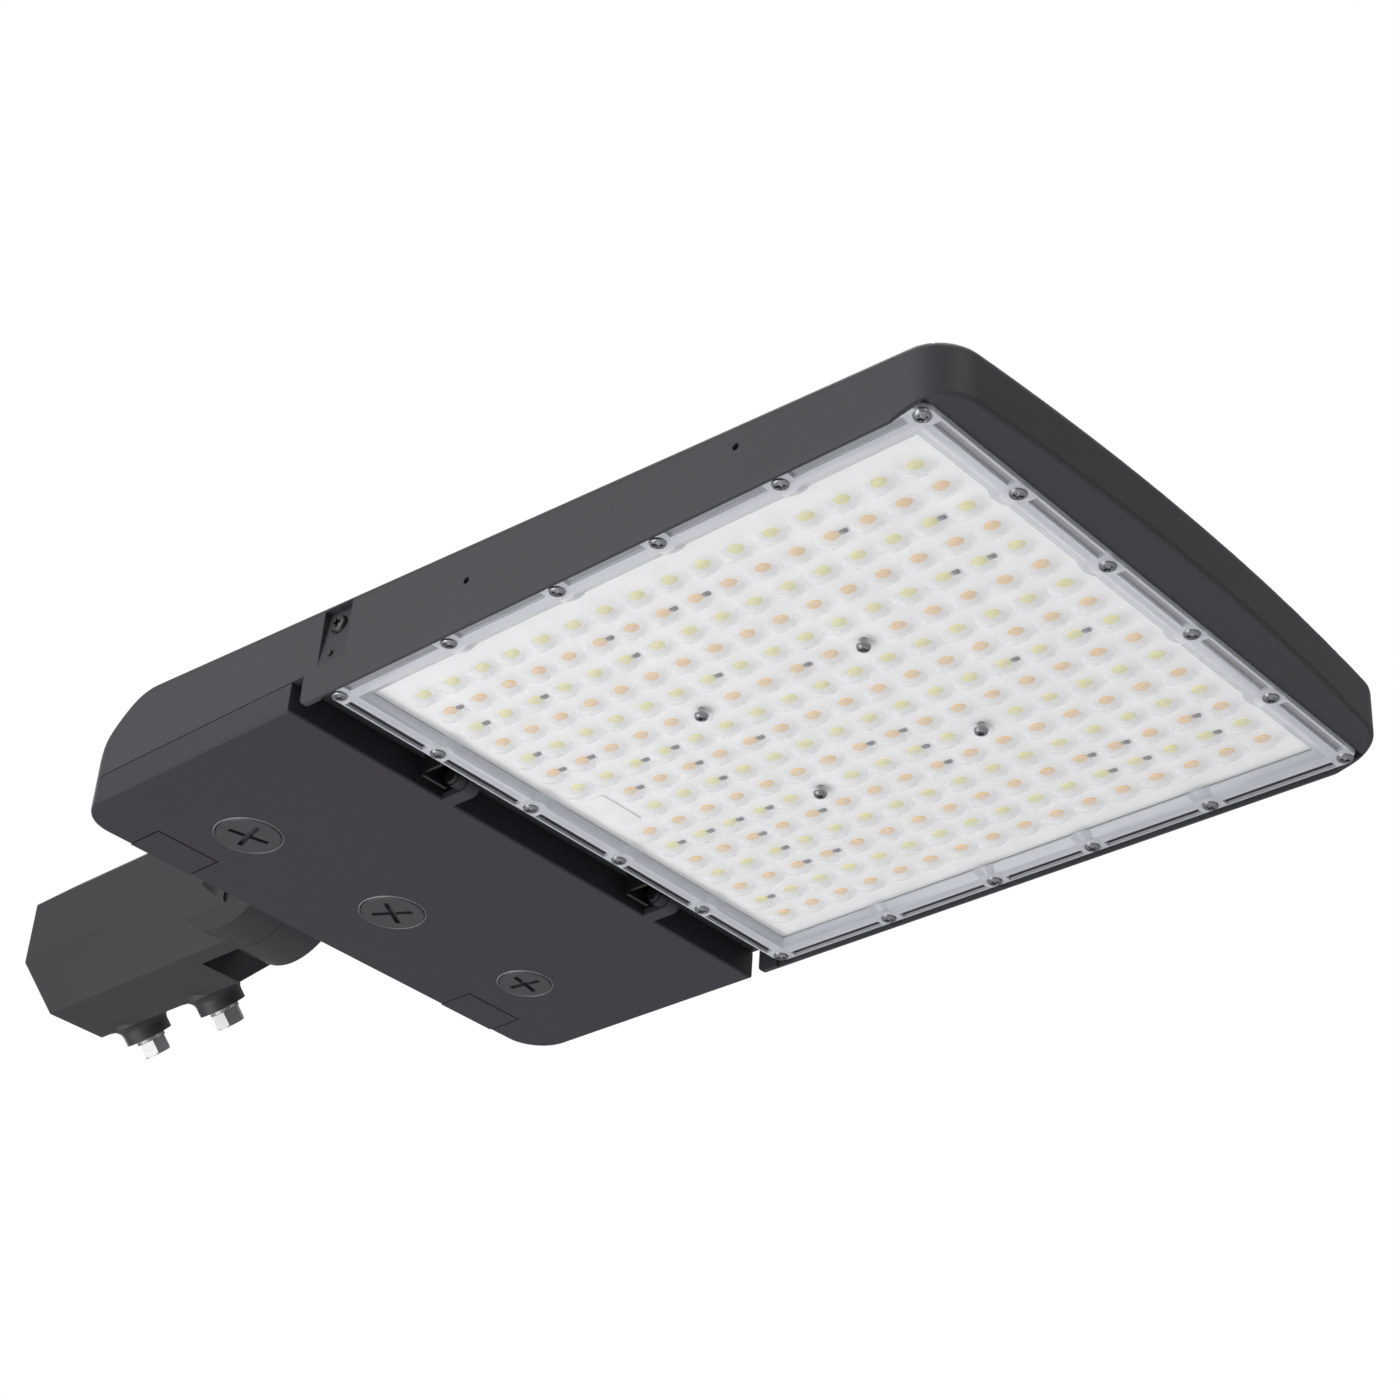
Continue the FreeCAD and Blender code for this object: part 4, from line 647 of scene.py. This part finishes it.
# ------------------------------------------------------------------ lamp optics
@dataclass
class LampOptics:
    """The cover over the lamp, its lenslets, and what shows through it."""

    finishes: Finishes
    rear: float = 359.3
    front: float = 674.9
    half: float = 146.8
    face: float = -45.5
    rim_back: float = -43.0
    panel_face: float = -43.2
    panel_back: float = -41.6
    corner: float = 5.0
    band: float = 10.3
    slope: float = 14.3
    screw_inset: float = 4.8
    screws_along: tuple = (0, 0.214, 0.413, 0.587, 0.786, 1)
    screws_across: tuple = (0, 0.2, 0.4, 0.6, 0.8, 1)
    pocket_from: float = 1.2
    pocket_to: float = 5.1
    pocket_depth: float = 1.5
    pocket_gap: float = 6.2
    shade_depth: float = 6.0
    back_inset: float = 12.4
    back_slope: float = 0.6
    boss: float = 7.0
    boss_foot: float = 11.2
    board: float = -40.5
    centre: float = 517.1
    column_step: float = 17.3
    row_step: float = 15.5
    count: int = 16
    lenslet_rise: float = 1.9
    lenslet_reach: float = 5.6
    lenslet_stretch: float = 1.3
    lenslet_sunk: float = 0.12
    waist: float = 0.9
    waist_reach: float = 2.2
    bead_stretch: float = 1.4
    component_step: float = 5.6
    cap: Point = (10.0, 26.0, 0.9)
    missing: tuple = ((6, 6), (11, 6), (6, 11), (11, 11), (1, 8), (1, 9))
    components: dict = field(default_factory=lambda: {
        2: (1, 6, 8, 9, 13), 3: (1, 3, 6, 15), 5: (1, 7, 14, 15), 6: (1, 2, 9), 7: (3, 4),
        8: (2, 4, 6), 9: (4, 13, 15), 10: (8, 9), 11: (1, 2, 3, 4, 9), 12: (3, 5, 9),
        13: (3,), 14: (3, 4, 12, 13, 15), 15: (1, 12, 13, 15)})

    def spot(self, column: float, row: float) -> tuple[float, float]:
        """X and Y of an LED."""
        middle = (self.count + 1) / 2
        return (self.centre + self.column_step * (column - middle), self.row_step * (row - middle))

    def screw_lines(self) -> tuple[list[float], list[float]]:
        """Where the rim screws stand along X and across Y, with the corners in both."""
        start, line = self.rear + self.screw_inset, self.half - self.screw_inset
        reach = self.front - self.screw_inset - start
        return ([start + reach * part for part in self.screws_along],
                [-line + 2 * line * part for part in self.screws_across])

    def screw_spots(self) -> list[tuple[float, float]]:
        """X and Y of the rim screws."""
        along, across = self.screw_lines()
        return ([(x, y) for x in along for y in (across[0], across[-1])]
                + [(x, y) for x in (along[0], along[-1]) for y in across[1:-1]])

    def leds(self, rows: Iterable[int]) -> list[tuple[float, float]]:
        """X and Y of the LEDs in some rows."""
        return [self.spot(column, row) for row in rows for column in range(1, self.count + 1)
                if (column, row) not in self.missing]

    def _plate(self) -> Workpiece:
        """The cover as a flat plate with cut corners and a raised back."""
        plate = Workpiece.block("lens_cover_detail", (self.rear, -self.half, self.face),
                                (self.front, self.half, self.rim_back))
        plate.pick_faces(lambda centre, normal: normal.z > 0.9)
        plate.inset(self.back_inset).inset(self.back_slope)
        plate.shift((0, 0, self.panel_back - self.rim_back)).done()
        plate.pick_edges(lambda a, b: abs(a.z - b.z) > 2).bevel(self.corner).done()
        plate.pick_edges(lambda a, b: a.z < self.face + 0.1 and b.z < self.face + 0.1)
        return plate.bevel(0.5, 2).done()

    def _recess(self) -> Workpiece:
        """The space below the panel, with its sloping sides and the screw bosses left out."""
        rise = self.panel_face - self.face
        outer = self.band - (self.slope - self.band) / rise
        tool = Workpiece.block(
            "recess", (self.rear + outer, outer - self.half, self.face - 1.0),
            (self.front - outer, self.half - outer, self.panel_face))
        length, width = self.front - self.rear, 2 * self.half
        shrink = (length - 2 * self.slope) / (length - 2 * outer)
        tool.pick_faces(lambda centre, normal: normal.z > 0.9)
        tool.scale((shrink, (width - 2 * self.slope) / (width - 2 * outer), 1.0))
        tool.shift((self.centre * (1 - shrink), 0, 0)).done()
        height = rise + 1.0
        foot = self.boss_foot
        below = self.boss - (self.boss_foot - self.boss) / rise
        bosses = Workpiece.rod("bosses", (0, 0, self.face - 1.0), below, height + 0.01, 28, foot)
        spots = [(x, y, 0.0) for x, y in self.screw_spots()]
        for spot in spots:
            single = Workpiece(bosses.thing.copy())
            single.thing.data = bosses.thing.data.copy()
            bpy.context.collection.objects.link(single.thing)
            single.stand(spot)
            tool.carve(single)
        bpy.data.objects.remove(bosses.thing, do_unlink=True)
        return tool

    def _pockets(self) -> Workpiece:
        """The shallow troughs in the rim between its screws."""
        gap = self.pocket_gap
        along, across = self.screw_lines()
        strips = []
        for side in (-1, 1):
            near, far = sorted((side * (self.half - self.pocket_from),
                                side * (self.half - self.pocket_to)))
            for first, second in zip(along, along[1:]):
                strips.append(((first + gap, near), (second - gap, far)))
        for low, high in ((self.rear + self.pocket_from, self.rear + self.pocket_to),
                          (self.front - self.pocket_to, self.front - self.pocket_from)):
            for first, second in zip(across, across[1:]):
                strips.append(((low, first + gap), (high, second - gap)))
        top = self.face + self.pocket_depth
        blocks = [Workpiece.block("pocket", (*low, self.face - 1.0), (*high, top))
                  for low, high in strips]
        return blocks[0].join(*blocks[1:])

    def _in_shade(self, spot: Vector) -> bool:
        """Whether a trough lies on the rear or far side, where its floor is painted black as
        shade.
        """
        return (spot.x < self.rear + self.shade_depth
                or spot.y > self.half - self.shade_depth)

    def build_cover(self) -> None:
        """The clear cover."""
        cover = self._plate()
        cover.carve(self._recess())
        cover.carve(self._pockets())
        cover.smooth(15.0)
        cover.dress(self.finishes.get(RIM))
        cover.dress_faces(self.finishes.get(PANEL), lambda centre, normal: (
            abs(centre.z - self.panel_face) < 0.3 and abs(normal.z) > 0.9
            or normal.z > 0.9 and centre.z > self.panel_back - 0.1))
        # The sloping faces take the darker copy, as painted shade.
        cover.dress_faces(self.finishes.get(SLOPE_PAINTED_SHADE), lambda centre, normal: (
            -0.97 < normal.z < -0.5 and centre.z > self.face + 0.3))
        # Trough floors: painted shade in black on the rear and far sides, a painted glint in grey
        # on the others.
        for finish, shaded_trough in ((POCKET_PAINTED_SHADE, True), (POCKET_PAINTED_GLINT, False)):
            cover.dress_faces(self.finishes.get(finish), lambda centre, normal: (
                abs(centre.z - self.face - self.pocket_depth) < 0.05 and normal.z < -0.9
                and shaded_trough == self._in_shade(centre)))
        cover.mount(Body.LUMINAIRE, Slot.LENS, "lens_cover")

    def build_lenslets(self) -> None:
        """A lens over each LED: a long dome, a little waisted."""
        rise, reach = self.lenslet_rise, self.lenslet_reach
        profile = [(reach * part, -rise * math.cos(part * math.pi / 2) ** 1.5)
                   for part in (0.0, 0.2, 0.4, 0.58, 0.74, 0.87)] + [(reach, 0.0), (0.0, 0.0)]
        dome = Workpiece.turned("lenslets", profile, 18)
        dome.pick_points(lambda spot: True).scale((self.lenslet_stretch, 1.0, 1.0)).done()
        dome.pick_points(lambda spot: abs(spot.x) < self.waist_reach)
        dome.scale((1.0, self.waist, 1.0)).done()
        dome.smooth(60.0)
        level = self.panel_face + self.lenslet_sunk
        places = [(x, y, level) for x, y in self.leds(range(1, self.count + 1))]
        dome = dome.copies(places)
        dome.dress(self.finishes.get(LENSLET)).mount(Body.LUMINAIRE, Slot.LENS)

    def build_leds(self) -> None:
        """The LEDs, as large as their lenslets make them look."""
        for name, rows, finish, slot in (
                ("cool_leds", range(1, self.count + 1, 2), COOL_PHOSPHOR, Slot.COOL),
                ("warm_leds", range(2, self.count + 1, 2), WARM_PHOSPHOR, Slot.WARM)):
            profile = [(0.0, -0.95), (1.3, -0.85), (2.3, -0.5), (2.65, 0.0), (0.0, 0.0)]
            bead = Workpiece.turned(name, profile, 12)
            bead.pick_points(lambda spot: True).scale((self.bead_stretch, 1.0, 1.0)).done()
            bead.smooth(60.0)
            bead = bead.copies([(x, y, self.board) for x, y in self.leds(rows)])
            node = "led_chips_cool" if slot is Slot.COOL else "led_chips_warm"
            bead.dress(self.finishes.get(finish)).mount(Body.LUMINAIRE, slot, node)

    def build_lead_cap(self) -> None:
        """The white cap over the lead's entry through the board."""
        x, y = self.spot(1, 8.5)
        length, width, rise = self.cap
        cap = Workpiece.block("lead_cap", (x - length / 2, y - width / 2, self.board - rise),
                              (x + length / 2, y + width / 2, self.board - 0.05))
        cap.pick_edges(lambda a, b: abs(a.z - b.z) > 0.5).bevel(1.6, 4).done()
        cap.pick_faces(lambda centre, normal: normal.z < -0.9).inset(0.5, 0.15).done()
        cap.smooth(40.0).dress(self.finishes.get(SOLDER_MASK)).mount(Body.LUMINAIRE, Slot.BOARD)

    def build_components(self) -> None:
        """Small resistors beside some LEDs."""
        part = Workpiece.block("board_components", (-1.7, -1.0, -0.9), (1.7, 1.0, 0.0))
        part.pick_faces(lambda centre, normal: abs(normal.x) > 0.9).inset(0.25, 0.1).done()
        part.soften(0.12)
        places = []
        for row, columns in self.components.items():
            for column in columns:
                x, y = self.spot(column, row)
                places.append((x + self.component_step, y, self.board))
        part.copies(places).dress(self.finishes.get(COMPONENT)).mount(Body.LUMINAIRE, Slot.BOARD)

    def build(self) -> None:
        """All of it."""
        self.build_cover()
        self.build_lenslets()
        self.build_leds()
        self.build_lead_cap()
        self.build_components()


# ------------------------------------------------------------------ fasteners
@dataclass
class Fasteners:
    """Screws and bolts that show."""

    finishes: Finishes
    optics: LampOptics
    head: float = 3.7
    head_rise: float = 2.2
    seat: float = -44.5
    board_head: float = 3.0
    board_rise: float = 2.0
    board_seat: float = -43.5
    bolt_x: tuple = (17.0, 77.0)
    bolt_y: float = 34.78
    bolt_flats: float = 13.8
    bolt_rise: float = 9.9
    bolt_collar: float = 7.9
    bolt_turns: tuple = (8, 21)
    collar_rise: float = 1.9
    thread_pitch: float = 1.5
    thread_reach: float = 14.0
    thread_crest: float = 4.95
    thread_root: float = 4.35
    side_spot: Point = (363.3, 149.0, -12.0)
    side_head: float = 4.2
    side_rise: float = 2.4
    side_depth: float = 2.6

    def _pan_head(self, name: str, radius: float, rise: float) -> Workpiece:
        """A pan head that faces -Z, with a cross recess."""
        profile = [(0.0, -rise), (radius * 0.62, -rise * 0.97), (radius * 0.88, -rise * 0.78),
                   (radius, -rise * 0.35), (radius, 0.0), (0.0, 0.0)]
        head = Workpiece.turned(name, profile, 24)
        arm, thick = radius * 0.7, radius * 0.21
        deep = rise * 0.62
        for reach in ((arm, thick), (thick, arm)):
            slot = Workpiece.block("slot", (-reach[0], -reach[1], -rise - 1.0),
                                   (reach[0], reach[1], -rise + deep))
            slot.pick_faces(lambda centre, normal: normal.z > 0.9)
            slot.scale((0.6, 0.6, 1.0)).done()
            head.carve(slot)
        return head.smooth(30.0)

    def build_rim_screws(self) -> None:
        """Twenty screws round the cover."""
        spots = self.optics.screw_spots()
        head = self._pan_head("rim_screw_heads", self.head, self.head_rise)
        turns = [(0, 0, 37 * number % 90) for number in range(len(spots))]
        heads = head.copies([(x, y, self.seat) for x, y in spots], turns)
        heads.dress(self.finishes.get(SCREW_STEEL)).mount(
            Body.LUMINAIRE, Slot.STEEL, "rim_screws")

    def build_board_screws(self) -> None:
        """Four screws through the cover into the board."""
        spots = [self.optics.spot(*place) for place in self.optics.missing[:4]]
        head = self._pan_head("board_screw_heads", self.board_head, self.board_rise)
        washer = Workpiece.turned("board_screw_cups", [
            (3.1, -0.2), (4.3, -0.9), (5.2, -0.5), (5.4, 0.3), (3.1, 0.3), (3.1, -0.2)], 24)
        washer.smooth(40.0)
        heads = head.copies([(x, y, self.board_seat) for x, y in spots],
                            [(0, 0, 20 + 23 * number) for number in range(4)])
        heads.dress(self.finishes.get(SCREW_STEEL)).mount(
            Body.LUMINAIRE, Slot.STEEL, "board_screws")
        cups = washer.copies([(x, y, self.board_seat) for x, y in spots])
        cups.dress(self.finishes.get(PANEL)).mount(Body.LUMINAIRE, Slot.LENS)

    def _set_bolt(self, name: str) -> Workpiece:
        """A hex bolt along +Z: chamfered head, serrated collar and threaded shank."""
        head = Workpiece.rod(name, (0, 0, self.collar_rise), self.bolt_flats / math.sqrt(3),
                             self.bolt_rise - self.collar_rise, 6)
        reach, crown = self.bolt_flats * 0.6, self.bolt_rise
        guard = Workpiece.turned("guard", [(0.0, 1.0), (reach, 1.0), (reach, crown - 1.2),
                                           (self.bolt_flats * 0.5, crown), (0.0, crown)], 48)
        head.carve(guard, "INTERSECT")
        head.pick_faces(lambda centre, normal: normal.z > 0.95 and centre.z > crown - 0.1)
        head.inset(0.9, -0.2).done()
        collar = Workpiece.rod("collar", (0, 0, 0.05), self.bolt_collar,
                               self.collar_rise - 0.05, 40)
        collar.pick_faces(lambda centre, normal: abs(normal.z) < 0.5)
        collar.inset(0.18, -0.25, True).done()
        pitch, root = self.thread_pitch, self.thread_root
        thread = [(0.0, -self.thread_reach), (root - 0.05, -self.thread_reach)]
        for turn in range(9):
            low = 0.4 - self.thread_reach + turn * pitch
            thread += [(self.thread_crest, low + pitch * 0.5), (root, low + pitch)]
        thread += [(root, 0.5), (0.0, 0.5)]
        shank = Workpiece.turned("shank", thread, 28)
        head.join(collar, shank)
        return head.smooth(28.0)

    def build_set_bolts(self) -> None:
        """The two bolts that clamp the tenon."""
        for x, turn, body, node in zip(self.bolt_x, self.bolt_turns,
                                       (Body.CLAMP_OUTER, Body.CLAMP_INNER),
                                       ("set_bolt_outer", "set_bolt_inner")):
            bolt = self._set_bolt(node + "_detail")
            bolt.stand((0, 0, 0), (0, 0, turn))
            bolt.stand((x, self.bolt_y, -self.bolt_y), (225, 0, 0))
            bolt.dress(self.finishes.get(STAINLESS)).mount(body, Slot.STEEL, node)

    def build_side_screws(self) -> None:
        """The domed screws in the recesses of the side walls."""
        screw = self._pan_head("side_screw_heads", self.side_head, self.side_rise)
        x, half, z = self.side_spot
        seat = half - self.side_depth
        heads = screw.copies([(x, -seat, z), (x, seat, z)], [(-90, 0, 0), (90, 0, 0)])
        heads.dress(self.finishes.get(BLACKENED)).mount(
            Body.LUMINAIRE, Slot.STEEL, "side_screws")

    def build(self) -> None:
        """All of them."""
        self.build_side_screws()
        self.build_rim_screws()
        self.build_board_screws()
        self.build_set_bolts()


# ------------------------------------------------------------------ ports
@dataclass
class PortRims:
    """Thin raised rims round the three plugs in the door, lighter and glossier than the door's
    coat: partly real gloss, partly a painted highlight on each port's edge.
    """

    finishes: Finishes
    port_x: float = 244.5
    level: float = -47.2
    ports: tuple = ((-89.0, 15.3), (0.0, 15.3), (89.0, 13.0))

    def build(self) -> None:
        """One rim for each port."""
        for number, (y, radius) in enumerate(self.ports):
            rim = Workpiece.turned(f"port_rim_{number}", [
                (radius + 0.15, 0.2), (radius + 0.2, -0.35), (radius + 0.45, -0.55),
                (radius + 0.8, -0.3), (radius + 1.0, 0.2), (radius + 0.15, 0.2)], 64)
            rim.stand((self.port_x, y, self.level)).smooth(50.0)
            # The lighter grey paints the line of light round each port.
            rim.dress(self.finishes.get(PORT_RIM_PAINTED_HIGHLIGHT)).mount(Body.DOOR, Slot.CASTING)


# ------------------------------------------------------------------ studio
@dataclass(frozen=True)
class SoftBox:
    """A square area light that faces the lamp."""

    name: str
    place: Point
    extent: float
    power: float


SOFT_BOXES = (
    SoftBox("under_box", (-0.25, -0.85, -1.9), 2.0, 38.5),
    SoftBox("side_box", (-0.3, -2.3, 0.45), 2.4, 40.0),
    SoftBox("front_box", (2.4, -0.4, 1.0), 1.1, 8.0),
    SoftBox("top_box", (0.2, 0.3, 2.2), 1.8, 26.0),
    SoftBox("rear_box", (-1.7, 0.5, 0.5), 1.0, 10.0),
)


@dataclass
class Studio:
    """Plain white surroundings, soft lights and the photograph's camera."""

    camera_place: Point = (1.1584, -0.7516, -0.6676)
    right: Point = (0.74543, 0.66385, 0.06036)
    up: Point = (0.32080, -0.43665, 0.84049)
    back: Point = (0.58431, -0.60716, -0.53845)
    focal: float = 72.31
    light_level: float = 0.36
    floor_level: float = -2.2

    def build_camera(self) -> None:
        """The camera at the photograph's angle."""
        data = bpy.data.cameras.new("camera")
        data.lens = self.focal
        data.sensor_width = 36.0
        data.clip_end = 100.0
        camera = bpy.data.objects.new("camera", data)
        bpy.context.collection.objects.link(camera)
        turn = Matrix((self.right, self.up, self.back)).transposed().to_4x4()
        camera.matrix_world = Matrix.Translation(self.camera_place) @ turn
        bpy.context.scene.camera = camera

    def build_world(self) -> None:
        """An even sky: white where it is seen, softer where it lights."""
        world = bpy.data.worlds.new("studio_air")
        bpy.context.scene.world = world
        world.use_nodes = True
        tree = world.node_tree
        tree.nodes.clear()
        path = tree.nodes.new("ShaderNodeLightPath")
        seen = tree.nodes.new("ShaderNodeMath")
        seen.operation = "MAXIMUM"
        tree.links.new(path.outputs["Is Camera Ray"], seen.inputs[0])
        tree.links.new(path.outputs["Is Transmission Ray"], seen.inputs[1])
        level = tree.nodes.new("ShaderNodeMapRange")
        level.inputs["To Min"].default_value = self.light_level
        level.inputs["To Max"].default_value = 1.0
        tree.links.new(seen.outputs[0], level.inputs["Value"])
        sky = tree.nodes.new("ShaderNodeBackground")
        sky.inputs["Color"].default_value = (1.0, 1.0, 1.0, 1.0)
        tree.links.new(level.outputs["Result"], sky.inputs["Strength"])
        end = tree.nodes.new("ShaderNodeOutputWorld")
        tree.links.new(sky.outputs[0], end.inputs["Surface"])

    def build_floor(self) -> None:
        """A pale floor far below."""
        Workpiece.clear_selection()
        bpy.ops.mesh.primitive_plane_add(size=12.0, location=(0.35, 0.0, self.floor_level))
        bpy.ops.object.transform_apply(location=True)
        floor = bpy.context.object
        floor.name = "studio_floor"
        graph = Graph("floor_paint")
        mottle = graph.noise(400.0, 2.0)
        shader = graph.make("BsdfPrincipled", {
            "Base Color": graph.tint(mottle, (0.80, 0.80, 0.80), (0.84, 0.84, 0.84)),
            "Roughness": 0.9})
        white = graph.make("Emission", {"Color": (1.0, 1.0, 1.0, 1.0), "Strength": 1.0})
        seen = graph.make("LightPath", output="Is Camera Ray")
        mix = graph.make("MixShader", {0: seen * 0.9, 1: shader, 2: white})
        graph.end(mix)
        floor.data.materials.append(graph.material)

    def build_lights(self) -> None:
        """Soft boxes below, beside and above the lamp."""
        target = Vector((0.38, 0.0, -0.02))
        for box in SOFT_BOXES:
            data = bpy.data.lights.new(box.name, "AREA")
            data.size = box.extent
            data.energy = box.power
            lamp = bpy.data.objects.new(box.name, data)
            bpy.context.collection.objects.link(lamp)
            lamp.location = box.place
            lamp.rotation_euler = (target - Vector(box.place)).to_track_quat("-Z", "Y").to_euler()

    def build(self) -> None:
        """All of it."""
        bpy.context.scene.view_settings.view_transform = "Standard"
        self.build_camera()
        self.build_world()
        self.build_floor()
        self.build_lights()


def main() -> None:
    """Builds everything around the frame."""
    logging.basicConfig(level=logging.INFO, format="%(message)s")
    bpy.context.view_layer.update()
    finishes = Finishes()
    CarriedNodes(finishes).dress()
    optics = LampOptics(finishes)
    optics.build()
    Fasteners(finishes, optics).build()
    PortRims(finishes).build()
    Studio().build()
    Workpiece.clear_selection()


if __name__ == "__main__":
    main()
